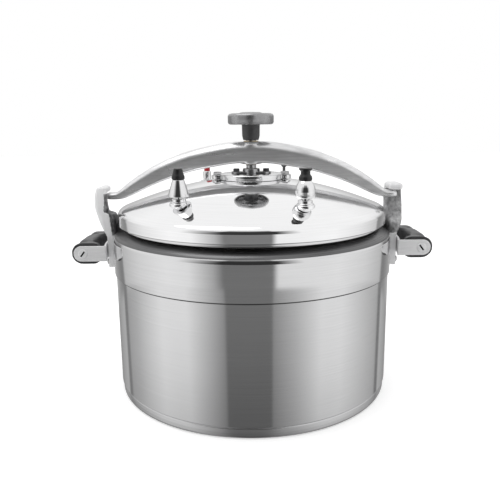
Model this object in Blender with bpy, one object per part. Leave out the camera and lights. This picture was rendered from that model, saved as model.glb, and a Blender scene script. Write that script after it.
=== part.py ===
"""Clamp-beam pressure canner, 36 cm, as an assembly of separate sub-parts.

Origin: centre of the base disc's underside, on the floor. +Z is up, the front faces -Y,
and the clamp beam and the two side handles lie along X. All sizes are in metres.
"""
import math

import bmesh
import bpy
from mathutils import Matrix, Vector

# ---------------------------------------------------------------- driving sizes
GAP = 0.0003                 # play left between neighbouring pieces
STEPS = 48                   # facets round the large turned pieces
SMALL_STEPS = 16             # facets round the small turned pieces

BODY_R = 0.1800              # outer radius of the wall
BAND_R = 0.1818              # outer radius of the thicker upper band
WALL = 0.0042                # wall thickness
BASE_H = 0.0134              # height of the bonded base disc
BAND_Z = 0.1590              # lower edge of the upper band
SHOULDER_Z = 0.2075          # where the wall turns in towards the mouth
NECK_Z = 0.2165              # foot of the neck
RIM_Z = 0.2275               # top of the mouth
MOUTH_R = 0.1605             # inner radius of the mouth
NECK_R = 0.1655              # outer radius of the neck

LID_R = 0.1746               # outer radius of the lid's skirt
LID_T = 0.0040               # thickness of the lid
SKIRT_Z = 0.2213             # lower edge of the lid's skirt
DOME_Z = 0.2390              # height of the dome's edge
DOME_RISE = 0.0384           # how far the dome would rise to a point in the middle
DOME_POWER = 1.85            # 1 is a cone, 2 a bowl
DOME_EDGE_R = 0.1720
BOSS_R = 0.0480              # the flat in the middle of the lid
BOSS_Z = 0.2742

LEFT_VENT = (-0.0849, -0.0930)
RIGHT_VENT = (0.0611, -0.1125)
FLOAT_AT = (-0.0640, 0.0790)
SAFETY_AT = (0.0480, 0.0900)
VENT_TIP_Z = 0.2758          # top of the vent pipes, which carry the weights

SEAT_R = 0.0420              # pressure seat in the middle of the lid
SEAT_Z = BOSS_Z + GAP
SEAT_H = 0.0070
SEAT_BOLT_X = 0.0445
RETAINER_LOW = SEAT_Z + SEAT_H + GAP   # the bridge that holds the screw's collar
RETAINER_TOP = RETAINER_LOW + 0.0025
RETAINER_BOLT_X = 0.0195
SCREW_R = 0.0070
COLLAR_R = 0.0092

BEAM_BOSS_R = 0.0145
BEAM_BOTTOM_Z = 0.2940
BEAM_BOSS_Z = 0.3255
BUSH_R = 0.0105
TONGUE_TOP_Z = 0.2585        # top of the beam's two end tongues
LIP_Z = TONGUE_TOP_Z + GAP   # underside of the hooks' lips
KNOB_Z = 0.3443              # underside of the knob's disc
KNOB_TOP_Z = 0.3585
KNOB_R = 0.0297

FOOT_R = 0.1905              # outer radius of the hooks' feet
HANDLE_Y = 0.0450            # half length of the side handles
HANDLE_Z = {-1: 0.1848, 1: 0.1893}    # height of each handle's middle, left and right
STRAP_T = 0.0025
STRAP_H = 0.0208
GRIP_END_X = 0.2310
BOLT_X = 0.2160
BOLT_R = 0.0030              # shank of the handle's bolt
RIVET_R = 0.0030             # shank of every rivet
RIVET_HEAD_R = 0.0046
NUT_H = 0.0040
HOOK_RIVET = (5.2, 0.1688)   # yaw of the front and rear rivets in degrees, and height
STRAP_RIVET_YAW = 4.2

# each lid fitting: place, hole radius, radius of the flat cut round the hole
FITTINGS = [
    (LEFT_VENT, 0.0043, 0.0105),
    (RIGHT_VENT, 0.0043, 0.0105),
    (FLOAT_AT, 0.0063, 0.0100),
    (SAFETY_AT, 0.0078, 0.0105),
]
FLOAT_RIM_Z = 0.2788         # top of the pressure pin's seat
SAFETY_TOP_Z = 0.2765        # top of the safety valve's body

# a grip's right half: distance along Y, inner and outer x, height above and below the middle
GRIP_STATIONS = [
    (0.0000, 0.2085, 0.2292, 0.0140, 0.0120),
    (0.0180, 0.2080, 0.2280, 0.0138, 0.0120),
    (0.0290, 0.2035, 0.2222, 0.0129, 0.0118),
    (0.0335, 0.1960, 0.2285, 0.0129, 0.0129),
    (0.0422, 0.1955, 0.2310, 0.0131, 0.0131),
]

# the clamp beam's right half: distance from the axis, top, underside, half width
BEAM_STATIONS = [
    (0.000, 0.3230, 0.2957, 0.0150),
    (0.022, 0.3225, 0.2950, 0.0150),
    (0.045, 0.3193, 0.2917, 0.0147),
    (0.070, 0.3140, 0.2871, 0.0142),
    (0.090, 0.3085, 0.2818, 0.0136),
    (0.110, 0.3012, 0.2752, 0.0130),
    (0.128, 0.2927, 0.2683, 0.0124),
    (0.144, 0.2832, 0.2609, 0.0118),
    (0.158, 0.2738, 0.2545, 0.0112),
    (0.168, 0.2662, 0.2508, 0.0108),
    (0.177, TONGUE_TOP_Z, 0.2495, 0.0106),
    (0.186, TONGUE_TOP_Z, 0.2495, 0.0104),
    (0.1895, TONGUE_TOP_Z - 0.0005, 0.2500, 0.0085),
    (0.1910, TONGUE_TOP_Z - 0.0020, 0.2515, 0.0060),
]

# a hook's post, from its foot upwards: height, inner and outer x, rear and front y
POST_STATIONS = [
    (0.1990, 0.1760, 0.1895, -0.0250, 0.0250),
    (0.2080, 0.1740, 0.1940, -0.0250, 0.0256),
    (0.2180, 0.1760, 0.1985, -0.0195, 0.0258),
    (0.2280, 0.1780, 0.2010, -0.0060, 0.0258),
    (0.2380, 0.1795, 0.2028, 0.0060, 0.0254),
    (0.2480, 0.1795, 0.2030, 0.0134, 0.0250),
    (0.2580, 0.1795, 0.2020, 0.0134, 0.0246),
    (0.2650, 0.1805, 0.1998, 0.0140, 0.0236),
]
LEFT_POST_INNER_X = 0.1868   # the left hook's post is the slimmer one


# ---------------------------------------------------------------- helpers
def clear_scene():
    for obj in list(bpy.data.objects):
        bpy.data.objects.remove(obj, do_unlink=True)


def new_collection(name):
    group = bpy.data.collections.new(name)
    bpy.context.scene.collection.children.link(group)
    return group


def material(name, colour, roughness, metallic):
    mat = bpy.data.materials.new(name)
    mat.use_nodes = True
    shader = mat.node_tree.nodes["Principled BSDF"]
    shader.inputs["Base Color"].default_value = (*colour, 1.0)
    shader.inputs["Roughness"].default_value = roughness
    shader.inputs["Metallic"].default_value = metallic
    return mat


def empty(name, at, parent=None):
    axis = bpy.data.objects.new(name, None)
    PARTS.objects.link(axis)
    put(axis, at, parent)
    return axis


def put(obj, at, parent):
    """Place obj at a world point under a parent that isn't turned."""
    base = Vector((0.0, 0.0, 0.0))
    if parent is not None:
        obj.parent = parent
        base = Vector(parent["at"])
    obj["at"] = tuple(at)
    obj.location = Vector(at) - base


def part(name, bm, mat, parent, at=(0.0, 0.0, 0.0), group=None):
    """Turn a bmesh into a named object with its material."""
    bmesh.ops.remove_doubles(bm, verts=bm.verts, dist=1e-7)
    mesh = bpy.data.meshes.new(name)
    bm.to_mesh(mesh)
    bm.free()
    obj = bpy.data.objects.new(name, mesh)
    (group or PARTS).objects.link(obj)
    if mat is not None:
        mesh.materials.append(mat)
    put(obj, at, parent)
    return obj


def cutter(name, bm):
    """A helper solid for a Boolean, kept out of the parts."""
    obj = part(name, bm, None, None, group=CUTTERS)
    obj.hide_render = True
    obj.display_type = "WIRE"
    return obj


def boolean(obj, other, operation):
    mod = obj.modifiers.new(other.name, "BOOLEAN")
    mod.object = other
    mod.operation = operation
    mod.solver = "EXACT"


def rounded(corners, segments=2):
    """Replace each corner (x, z, radius) of an open outline with an arc of that radius."""
    points = []
    for index, corner in enumerate(corners):
        here = Vector(corner[:2])
        radius = corner[2] if len(corner) > 2 else 0.0
        if radius == 0.0 or index in (0, len(corners) - 1):
            points.append(here)
            continue
        before = (Vector(corners[index - 1][:2]) - here).normalized()
        after = (Vector(corners[index + 1][:2]) - here).normalized()
        half = before.angle(after) / 2.0
        centre = here + (before + after).normalized() * (radius / math.sin(half))
        start = here + before * (radius / math.tan(half)) - centre
        end = here + after * (radius / math.tan(half)) - centre
        for step in range(segments + 1):
            points.append(centre + start.slerp(end, step / segments) * radius)
    return points


def turned_mesh(points, steps, closed=False):
    """Spin an outline, given top to bottom on its outer side, into a closed solid."""
    bm = bmesh.new()
    verts = [bm.verts.new((p[0], 0.0, p[1])) for p in points]
    edges = [bm.edges.new(pair) for pair in zip(verts, verts[1:])]
    if closed:
        edges.append(bm.edges.new((verts[-1], verts[0])))
    bmesh.ops.spin(
        bm, geom=verts + edges, cent=(0, 0, 0), axis=(0, 0, 1),
        angle=2.0 * math.pi, steps=steps, use_merge=True, use_duplicate=False,
    )
    bmesh.ops.remove_doubles(bm, verts=bm.verts, dist=1e-7)
    bmesh.ops.recalc_face_normals(bm, faces=bm.faces)
    return bm


def turned(name, corners, mat, parent, at=(0.0, 0.0), steps=SMALL_STEPS, closed=False):
    """A turned part whose outline is in world heights, on the axis through at."""
    outline = rounded(corners)
    lowest = min(p[1] for p in outline)
    local = [(p[0], p[1] - lowest) for p in outline]
    return part(name, turned_mesh(local, steps, closed), mat, parent, (*at, lowest))


def ring(name, inner, outer, low, high, mat, parent, at=(0.0, 0.0), steps=SMALL_STEPS, edge=0.0):
    """A plain washer, bush or sleeve."""
    corners = [(inner, high), (outer, high, edge), (outer, low, edge), (inner, low)]
    return turned(name, corners, mat, parent, at, steps, closed=True)


def nut(name, bore, outer, low, high, mat, parent, at=(0.0, 0.0)):
    """A hexagon nut whose flats stand clear of a round shank of the bore's radius."""
    inner = bore / math.cos(math.pi / 6)
    return ring(name, inner, outer, low, high, mat, parent, at, 6)


def cylinder_mesh(radius, low, high, at=(0.0, 0.0), steps=SMALL_STEPS, bm=None):
    bm = bm or bmesh.new()
    bmesh.ops.create_cone(
        bm, cap_ends=True, segments=steps, radius1=radius, radius2=radius, depth=high - low,
        matrix=Matrix.Translation((at[0], at[1], (low + high) / 2.0)),
    )
    return bm


def bmesh_moved(bm, by):
    bmesh.ops.translate(bm, verts=bm.verts, vec=by)
    return bm


def add_mesh(bm, extra):
    """Add a second shape, which it uses up, to a bmesh."""
    mesh = bpy.data.meshes.new("added")
    extra.to_mesh(mesh)
    extra.free()
    bm.from_mesh(mesh)
    bpy.data.meshes.remove(mesh)


def box_mesh(low, high, bevel=0.0):
    low, high = Vector(low), Vector(high)
    size = high - low
    place = Matrix.Translation((low + high) / 2.0) @ Matrix.Diagonal((*size, 1.0))
    bm = bmesh.new()
    bmesh.ops.create_cube(bm, size=1.0, matrix=place)
    if bevel:
        bmesh.ops.bevel(bm, geom=bm.edges, offset=bevel, segments=3, profile=0.5, affect="EDGES")
    return bm


def rounded_rectangle(x0, x1, y0, y1, radii, segments=2):
    """Four rounded corners, counter-clockwise from (x1, y0); radii in the same order."""
    centres = [(x1, y0, -1, 1), (x1, y1, -1, -1), (x0, y1, 1, -1), (x0, y0, 1, 1)]
    points = []
    for quarter, ((x, y, sx, sy), radius) in enumerate(zip(centres, radii)):
        for step in range(segments + 1):
            angle = math.radians(-90.0 + 90.0 * quarter + 90.0 * step / segments)
            points.append((
                x + sx * radius + radius * math.cos(angle),
                y + sy * radius + radius * math.sin(angle),
            ))
    return points


def loft(sections):
    """Join a row of equal-count outlines into a closed solid."""
    bm = bmesh.new()
    rows = [[bm.verts.new(p) for p in section] for section in sections]
    for lower, upper in zip(rows, rows[1:]):
        for k in range(len(lower)):
            following = (k + 1) % len(lower)
            bm.faces.new((lower[k], lower[following], upper[following], upper[k]))
    bm.faces.new(reversed(rows[0]))
    bm.faces.new(rows[-1])
    bmesh.ops.recalc_face_normals(bm, faces=bm.faces)
    return bm


def prism(outline, low, high, upright=False):
    """Extrude a flat outline: along Z, or along Y when upright (outline in x, z)."""
    if upright:
        return loft([[(x, y, z) for x, z in outline] for y in (low, high)])
    return loft([[(x, y, z) for x, y in outline] for z in (low, high)])


def stadium(x0, x1, z_mid, height, segments=8):
    """A tab's outline: square at x0, a half circle at x1."""
    radius = height / 2.0
    points = [(x0, z_mid + radius), (x0, z_mid - radius)]
    for step in range(segments + 1):
        angle = math.radians(-90.0 + 180.0 * step / segments)
        points.append((x1 - radius + radius * math.cos(angle), z_mid + radius * math.sin(angle)))
    return points


def half_turn(bm, side):
    """Copy a right-hand shape to the left by half a turn about Z."""
    if side < 0:
        bmesh.ops.rotate(bm, verts=bm.verts, cent=(0, 0, 0), matrix=Matrix.Rotation(math.pi, 3, "Z"))
    return bm


def lie_along_y(bm, middle):
    """Turn a shape built about Z so that it runs along -Y through middle."""
    bmesh.ops.rotate(bm, verts=bm.verts, cent=(0, 0, 0), matrix=Matrix.Rotation(math.pi / 2, 3, "X"))
    bmesh.ops.translate(bm, verts=bm.verts, vec=middle)
    return bm


def lie_along_x(bm, middle, yaw):
    """Turn a shape built about Z so that it points outwards from the wall."""
    bmesh.ops.rotate(bm, verts=bm.verts, cent=(0, 0, 0), matrix=Matrix.Rotation(math.pi / 2, 3, "Y"))
    bmesh.ops.translate(bm, verts=bm.verts, vec=middle)
    bmesh.ops.rotate(bm, verts=bm.verts, cent=(0, 0, 0), matrix=Matrix.Rotation(yaw, 3, "Z"))
    return bm


def dome_z(radius):
    """Height of the lid's outer face on the plain dome."""
    return DOME_Z + DOME_RISE * (1.0 - (radius / DOME_EDGE_R) ** DOME_POWER)


# ---------------------------------------------------------------- pot
def build_pot():
    floor = BASE_H + GAP
    inner = BODY_R - WALL
    corners = [
        (0.0, floor + 0.0048),
        (inner, floor + 0.0048, 0.010),
        (inner, SHOULDER_Z - 0.0030, 0.006),
        (MOUTH_R, NECK_Z - 0.0045, 0.003),
        (MOUTH_R, RIM_Z, 0.0015),
        (NECK_R, RIM_Z, 0.0015),
        (NECK_R, NECK_Z, 0.0015),
        (BAND_R, SHOULDER_Z, 0.0060),
        (BAND_R, BAND_Z, 0.0008),
        (BODY_R, BAND_Z - 0.0010),
        (BODY_R, floor, 0.0015),
        (0.0, floor),
    ]
    return turned("pot_body", corners, ALUMINIUM, POT, steps=STEPS)


def build_base_disc():
    corners = [(0.0, BASE_H), (0.1785, BASE_H, 0.0008), (0.1785, 0.0, 0.0028), (0.0, 0.0)]
    return turned("base_disc", corners, BASE_METAL, POT, steps=STEPS)


def build_rack():
    """Perforated rack that keeps the jars off the floor."""
    low, high, radius = 0.0560, 0.0580, 0.1570
    bm = cylinder_mesh(radius, low, high, steps=40)
    rack = part("steam_rack", bm, RACK_METAL, RACK)
    holes = bmesh.new()
    for count, circle, hole in ((6, 0.045, 0.012), (10, 0.090, 0.013), (14, 0.132, 0.012)):
        for index in range(count):
            angle = 2.0 * math.pi * index / count
            spot = (circle * math.cos(angle), circle * math.sin(angle))
            cylinder_mesh(hole, low - 0.004, high + 0.004, spot, 8, holes)
    boolean(rack, cutter("rack_holes", holes), "DIFFERENCE")
    legs = bmesh.new()
    for index in range(3):
        angle = math.radians(15.0 + 120.0 * index)
        spot = (0.111 * math.cos(angle), 0.111 * math.sin(angle))
        cylinder_mesh(0.005, BASE_H + 0.0054, low + 0.0010, spot, 8, legs)
    boolean(rack, cutter("rack_legs", legs), "UNION")
    return rack


# ---------------------------------------------------------------- hooks and handles
def wall_cutter():
    """The pot's and lid's outer shape plus play, which the hooks are shaped to."""
    corners = [
        (0.0, 0.300), (LID_R + 0.0016, 0.300), (LID_R + 0.0016, 0.2150),
        (BAND_R + GAP, SHOULDER_Z - 0.0004), (BAND_R + GAP, 0.150), (0.0, 0.150),
    ]
    return cutter("wall_shape", turned_mesh(corners, STEPS))


def build_hook(name, side, inner_x, wall):
    """Cast hook: a foot on the wall, a post beside the beam's tongue and a lip over it."""
    sections = []
    for z, x0, x1, y0, y1 in POST_STATIONS:
        x0 = x0 if z < 0.235 else inner_x
        reach = min(0.0062, (x1 - x0) / 2.2, (y1 - y0) / 2.2)
        sections.append([(x, y, z) for x, y in rounded_rectangle(x0, x1, y0, y1, [reach] * 4, 3)])
    hook = part(name, half_turn(loft(sections), side), CAST, POT)

    arc = [math.radians(angle) for angle in (-8, -5, -2.5, 0, 2.5, 5, 8)]
    outline = [(FOOT_R * math.cos(a), FOOT_R * math.sin(a)) for a in arc]
    outline += [(0.176 * math.cos(a), 0.176 * math.sin(a)) for a in reversed(arc)]
    foot = prism(outline, 0.1620, 0.2050)
    boolean(hook, cutter(name + "_foot", half_turn(foot, side)), "UNION")

    lip = box_mesh((inner_x + 0.0005, -0.0095, LIP_Z), (0.1990, 0.0238, LIP_Z + 0.0088), 0.0034)
    boolean(hook, cutter(name + "_lip", half_turn(lip, side)), "UNION")
    boolean(hook, wall, "DIFFERENCE")
    boolean(hook, rivet_holes(name + "_holes", side, hook_rivets() + strap_rivets(side)), "DIFFERENCE")
    return hook


def hook_rivets():
    yaw, z = HOOK_RIVET
    return [(-yaw, z), (yaw, z)]


def strap_rivets(side):
    return [(-STRAP_RIVET_YAW, HANDLE_Z[side]), (STRAP_RIVET_YAW, HANDLE_Z[side])]


def rivet_holes(name, side, spots):
    """Holes through the wall, the hook's foot and the strap."""
    bm = bmesh.new()
    for yaw, z in spots:
        hole = lie_along_x(cylinder_mesh(RIVET_R + GAP, 0.160, 0.215, steps=12), (0, 0, z), math.radians(yaw))
        add_mesh(bm, half_turn(hole, side))
    return cutter(name, bm)


def build_rivet(name, side, yaw, z, head_x):
    """Rivet with a domed head outside and a flat one inside the wall."""
    inside = BODY_R - WALL
    corners = [
        (0.0, head_x + 0.0026), (0.0030, head_x + 0.0018), (RIVET_HEAD_R, head_x + GAP),
        (RIVET_R, head_x + GAP), (RIVET_R, inside - 0.0012), (RIVET_HEAD_R, inside - 0.0012),
        (RIVET_HEAD_R, inside - 0.0030), (0.0, inside - 0.0030),
    ]
    bm = lie_along_x(turned_mesh(corners, 10), (0, 0, z), math.radians(yaw))
    return part(name, half_turn(bm, side), RIVET_METAL, POT)


def build_strap(name, side):
    """Steel strap: a web bent round the hook's foot and two tabs that carry the grip."""
    reach = math.asin((HANDLE_Y - 0.0005) / (FOOT_R + GAP + STRAP_T))
    arc = [reach * k / 6.0 for k in range(-6, 7)]
    outline = [((FOOT_R + GAP + STRAP_T) * math.cos(a), (FOOT_R + GAP + STRAP_T) * math.sin(a)) for a in arc]
    outline += [((FOOT_R + GAP) * math.cos(a), (FOOT_R + GAP) * math.sin(a)) for a in reversed(arc)]
    middle = HANDLE_Z[side]
    web = prism(outline, middle - STRAP_H / 2, middle + STRAP_H / 2)
    strap = part(name, half_turn(web, side), TAB_METAL, POT)
    tab = stadium(0.1862, GRIP_END_X - 0.0027, middle, STRAP_H)
    for end in (-1, 1):
        near = end * HANDLE_Y
        plate = prism(tab, min(near, near - end * STRAP_T), max(near, near - end * STRAP_T), upright=True)
        word = "front" if end * side < 0 else "rear"
        boolean(strap, cutter(name + "_" + word, half_turn(plate, side)), "UNION")
    boolean(strap, bolt_hole(name + "_bolt_hole", side), "DIFFERENCE")
    boolean(strap, rivet_holes(name + "_rivet_holes", side, strap_rivets(side)), "DIFFERENCE")
    return strap


def bolt_hole(name, side):
    """The hole through both tabs and the grip."""
    hole = cylinder_mesh(BOLT_R + GAP, -0.06, 0.06, steps=12)
    return cutter(name, half_turn(lie_along_y(hole, (BOLT_X, 0, HANDLE_Z[side])), side))


def build_grip(name, side):
    """Moulded grip: a bar with two end lugs that the strap's tabs are let into."""
    middle = HANDLE_Z[side]
    rear_half = [(-y, *sizes) for y, *sizes in reversed(GRIP_STATIONS[1:])]
    sections = []
    for y, inner, outer, above, below in rear_half + GRIP_STATIONS:
        big = min((above + below) / 2 - 0.0006, (outer - inner) * 0.62)
        small = min(0.006, (outer - inner) * 0.25)
        outline = rounded_rectangle(inner, outer, middle - below, middle + above, [big, big, small, small], 4)
        sections.append([(x, y, z) for x, z in outline])
    grip = part(name, half_turn(loft(sections), side), BAKELITE, POT)
    boolean(grip, bolt_hole(name + "_bolt_hole", side), "DIFFERENCE")
    return grip


def build_grip_bolt(side_name, side):
    """Slotted bolt from the front tab to the rear one, with its nut behind."""
    corners = [
        (0.0, HANDLE_Y + 0.0020), (0.0046, HANDLE_Y + 0.0017), (0.0061, HANDLE_Y + GAP),
        (BOLT_R, HANDLE_Y + GAP), (BOLT_R, -HANDLE_Y - 0.0048), (0.0, -HANDLE_Y - 0.0048),
    ]
    middle = (side * BOLT_X, 0, HANDLE_Z[side])
    bolt = part("handle_bolt_" + side_name, lie_along_y(turned_mesh(corners, 16), middle), SCREW_METAL, POT)
    slot = box_mesh((-0.0010, -0.0490, -0.0075), (0.0010, -HANDLE_Y - 0.0010, 0.0075))
    bmesh.ops.rotate(slot, verts=slot.verts, cent=(0, 0, 0), matrix=Matrix.Rotation(-side * 0.65, 3, "Y"))
    bmesh.ops.translate(slot, verts=slot.verts, vec=middle)
    boolean(bolt, cutter("slot_" + side_name, slot), "DIFFERENCE")
    behind = (middle[0], HANDLE_Y + GAP + NUT_H, middle[2])
    hexagon = [(0.0038, NUT_H), (0.0060, NUT_H), (0.0060, 0.0), (0.0038, 0.0)]
    part("handle_nut_" + side_name, lie_along_y(turned_mesh(hexagon, 6, closed=True), behind), SCREW_METAL, POT)


# ---------------------------------------------------------------- lid
def build_lid():
    """Domed lid with a flat middle and a skirt that drops over the pot's neck."""
    outer = [(0.0, BOSS_Z), (BOSS_R, BOSS_Z, 0.006)]
    outer += [(r, dome_z(r)) for r in (0.064, 0.084, 0.103, 0.120, 0.134, 0.147, 0.159)]
    outer += [
        (LID_R - 0.0026, DOME_Z - 0.0006, 0.003), (LID_R, DOME_Z - 0.0052, 0.003), (LID_R, SKIRT_Z, 0.0012),
        (LID_R - 0.0050, SKIRT_Z, 0.0008),
    ]
    seat = RIM_Z + 0.0043
    inner = [(LID_R - 0.0050, seat), (MOUTH_R - 0.0015, seat), (0.1560, dome_z(0.156) - LID_T - 0.001)]
    inner += [(r, dome_z(r) - LID_T) for r in (0.141, 0.122, 0.102, 0.083, 0.064)]
    inner += [(BOSS_R - 0.003, BOSS_Z - LID_T, 0.004), (0.0, BOSS_Z - LID_T)]
    lid = turned("lid_shell", outer + inner, MIRROR, LID, steps=STEPS)
    pads = bmesh.new()
    for at, hole, face in FITTINGS:
        cylinder_mesh(face + 0.0010, pad_low(at), fitting_height(at) + 0.0010, at, 20, pads)
    boolean(lid, cutter("lid_pads", pads), "UNION")
    cuts = bmesh.new()
    for x in (-SEAT_BOLT_X, SEAT_BOLT_X):
        cylinder_mesh(0.0033, 0.255, 0.290, (x, 0.0), 12, cuts)
    for at, hole, face in FITTINGS:
        fitting_z = fitting_height(at)
        plug = [(0.0, 0.290), (face, 0.290), (face, fitting_z), (hole, fitting_z), (hole, 0.225), (0.0, 0.225)]
        add_mesh(cuts, bmesh_moved(turned_mesh(plug, 14), (*at, 0.0)))
    boolean(lid, cutter("lid_holes", cuts), "DIFFERENCE")
    return lid


def fitting_height(at):
    """Height of the flat seat on the dome under a fitting."""
    return dome_z(math.hypot(*at)) - 0.0004


def pad_low(at):
    """Underside of the thick pad that carries a fitting on the sloping dome."""
    return dome_z(math.hypot(*at) + 0.0078) - LID_T - 0.0002


def inner_face(at, radius):
    """Lowest height of the lid's inner face under a nut of that radius."""
    return dome_z(math.hypot(*at) + radius) - LID_T - 0.0004


def build_gasket():
    low = RIM_Z + 0.0004
    corners = [(0.1612, low + 0.0036), (0.1690, low + 0.0036, 0.0010), (0.1690, low, 0.0010), (0.1612, low)]
    return turned("lid_gasket", corners, SILICONE, LID, steps=STEPS, closed=True)


def build_seat():
    """Round pressure plate on the lid's raised centre, with two bolted ears."""
    top = SEAT_Z + SEAT_H
    corners = [(0.0, top), (SEAT_R, top, 0.0012), (SEAT_R, SEAT_Z, 0.0012), (0.0, SEAT_Z)]
    plate = turned("seat_plate", corners, MIRROR, LID, steps=32)
    ears = bmesh.new()
    for x in (-SEAT_BOLT_X, SEAT_BOLT_X):
        cylinder_mesh(0.0078, SEAT_Z, top - 0.0012, (x, 0.0), 14, ears)
    boolean(plate, cutter("seat_ears", ears), "UNION")
    holes = bmesh.new()
    plug = [(0.0, 0.300), (0.0066, 0.300), (0.0066, top - 0.0012), (0.0033, top - 0.0012), (0.0033, 0.250),
            (0.0, 0.250)]
    for x in (-SEAT_BOLT_X, SEAT_BOLT_X):
        add_mesh(holes, bmesh_moved(turned_mesh(plug, 12), (x, 0.0, 0.0)))
    for x in (-RETAINER_BOLT_X, RETAINER_BOLT_X):
        cylinder_mesh(0.0023, top - 0.0052, 0.300, (x, 0.0), 12, holes)
    boolean(plate, cutter("seat_holes", holes), "DIFFERENCE")
    for side, word in ((-1, "left"), (1, "right")):
        at = (side * SEAT_BOLT_X, 0.0)
        head = top - 0.0012 + GAP
        build_bolt("seat_bolt_" + word, at, head, 0.0034, 0.0060, 0.0030, BOSS_Z - 0.0125)
        under = BOSS_Z - LID_T - GAP - 0.0026
        nut("seat_nut_" + word, 0.0033, 0.0062, under - 0.0050, under, SCREW_METAL, LID, at)
        at = (side * RETAINER_BOLT_X, 0.0)
        build_bolt("retainer_bolt_" + word, at, RETAINER_TOP + GAP, 0.0034, 0.0046, 0.0020, top - 0.0045,
                   BLACK_STEEL)
    return plate


def build_bolt(name, at, under_head, head_h, head_r, shank_r, low, mat=None):
    """Hexagon bolt pointing down."""
    corners = [
        (0.0, under_head + head_h), (head_r * 0.8, under_head + head_h), (head_r, under_head + head_h * 0.75),
        (head_r, under_head), (shank_r, under_head), (shank_r, low), (0.0, low),
    ]
    return turned(name, corners, mat or SCREW_METAL, LID, at, 12)


def build_retainer():
    """Bridge that holds the screw's collar down on the seat, so the screw lifts the lid."""
    ends = [(0.0165, 0.0), (-0.0165, math.pi)]
    outline = []
    for x, start in ends:
        for step in range(9):
            angle = start - math.pi / 2 + math.pi * step / 8
            outline.append((x + 0.0095 * math.cos(angle), 0.0095 * math.sin(angle)))
    base = part("screw_retainer", prism(outline, RETAINER_LOW, RETAINER_TOP), SATIN, LID)
    crown = cylinder_mesh(0.0112, RETAINER_LOW, RETAINER_LOW + 0.0066, steps=20)
    boolean(base, cutter("retainer_crown", crown), "UNION")
    bore = cylinder_mesh(COLLAR_R + GAP, RETAINER_LOW - 0.002, RETAINER_LOW + 0.0040, steps=20)
    boolean(base, cutter("retainer_pocket", bore), "DIFFERENCE")
    holes = cylinder_mesh(SCREW_R + GAP, RETAINER_LOW, 0.300, steps=20)
    for x in (-RETAINER_BOLT_X, RETAINER_BOLT_X):
        cylinder_mesh(0.0023, RETAINER_LOW - 0.002, 0.300, (x, 0.0), 12, holes)
    boolean(base, cutter("retainer_holes", holes), "DIFFERENCE")
    return base


def build_vent(word, at):
    """Vent pipe through the lid, with its lock nut and clog guard inside."""
    face = fitting_height(at) + GAP
    bottom = face - 0.0150
    corners = [
        (0.0014, VENT_TIP_Z), (0.0024, VENT_TIP_Z), (0.0032, VENT_TIP_Z - 0.0018), (0.0032, face + 0.0054),
        (0.0072, face + 0.0052), (0.0084, face + 0.0044), (0.0084, face + 0.0020), (0.0098, face + 0.0014),
        (0.0098, face), (0.0040, face), (0.0040, bottom), (0.0014, bottom),
    ]
    turned("vent_pipe_" + word, corners, CHROME, LID, at, 16, closed=True)
    under = inner_face(at, 0.0078) - GAP
    nut("vent_nut_" + word, 0.0043, 0.0078, under - 0.0045, under, SCREW_METAL, LID, at)
    top = under - 0.0048
    cup = [
        (0.0043, top), (0.0070, top), (0.0070, bottom - 0.0060), (0.0, bottom - 0.0060),
        (0.0, bottom - 0.0048), (0.0058, bottom - 0.0048), (0.0058, top - 0.0012), (0.0043, top - 0.0012),
    ]
    shell = turned("vent_guard_" + word, cup, RACK_METAL, LID, at, 16, closed=True)
    slots = bmesh.new()
    for index in range(3):
        angle = math.pi * index / 3 + 0.2
        offset = 0.0045
        for end in (-1, 1):
            spot = (at[0] + end * offset * math.cos(angle), at[1] + end * offset * math.sin(angle))
            cylinder_mesh(0.0009, bottom - 0.0080, bottom - 0.0030, spot, 8, slots)
    boolean(shell, cutter("guard_holes_" + word, slots), "DIFFERENCE")


def build_weight_left():
    """Cone-shaped jiggle weight with a black cap."""
    at = LEFT_VENT
    corners = [
        (0.0, 0.2831), (0.0068, 0.2831, 0.0006), (0.0122, 0.2658, 0.0010), (0.0124, 0.2631, 0.0010),
        (0.0042, 0.2629), (0.0042, VENT_TIP_Z + GAP), (0.0, VENT_TIP_Z + GAP),
    ]
    turned("weight_left", corners, CHROME, WEIGHT_LEFT, at, 20)
    cap = [
        (0.0, 0.2960), (0.0051, 0.2960, 0.0012), (0.0060, 0.2902), (0.0076, 0.2868), (0.0076, 0.2834),
        (0.0, 0.2834),
    ]
    turned("weight_cap_left", cap, BLACK_PLASTIC, WEIGHT_LEFT, at, 20)


def build_weight_right():
    """Barrel-shaped jiggle weight with a flanged black cap."""
    at = RIGHT_VENT
    corners = [
        (0.0, 0.2827), (0.0068, 0.2827, 0.0006), (0.0105, 0.2770, 0.006), (0.0124, 0.2699, 0.006),
        (0.0109, 0.2636, 0.003), (0.0084, 0.2620), (0.0042, 0.2620), (0.0042, VENT_TIP_Z + GAP),
        (0.0, VENT_TIP_Z + GAP),
    ]
    turned("weight_right", corners, CHROME, WEIGHT_RIGHT, at, 20)
    cap = [
        (0.0, 0.2965), (0.0076, 0.2965, 0.0006), (0.0076, 0.2947, 0.0006), (0.0054, 0.2931), (0.0054, 0.2897),
        (0.0076, 0.2864), (0.0076, 0.2830), (0.0, 0.2830),
    ]
    turned("weight_cap_right", cap, BLACK_PLASTIC, WEIGHT_RIGHT, at, 20)


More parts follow.
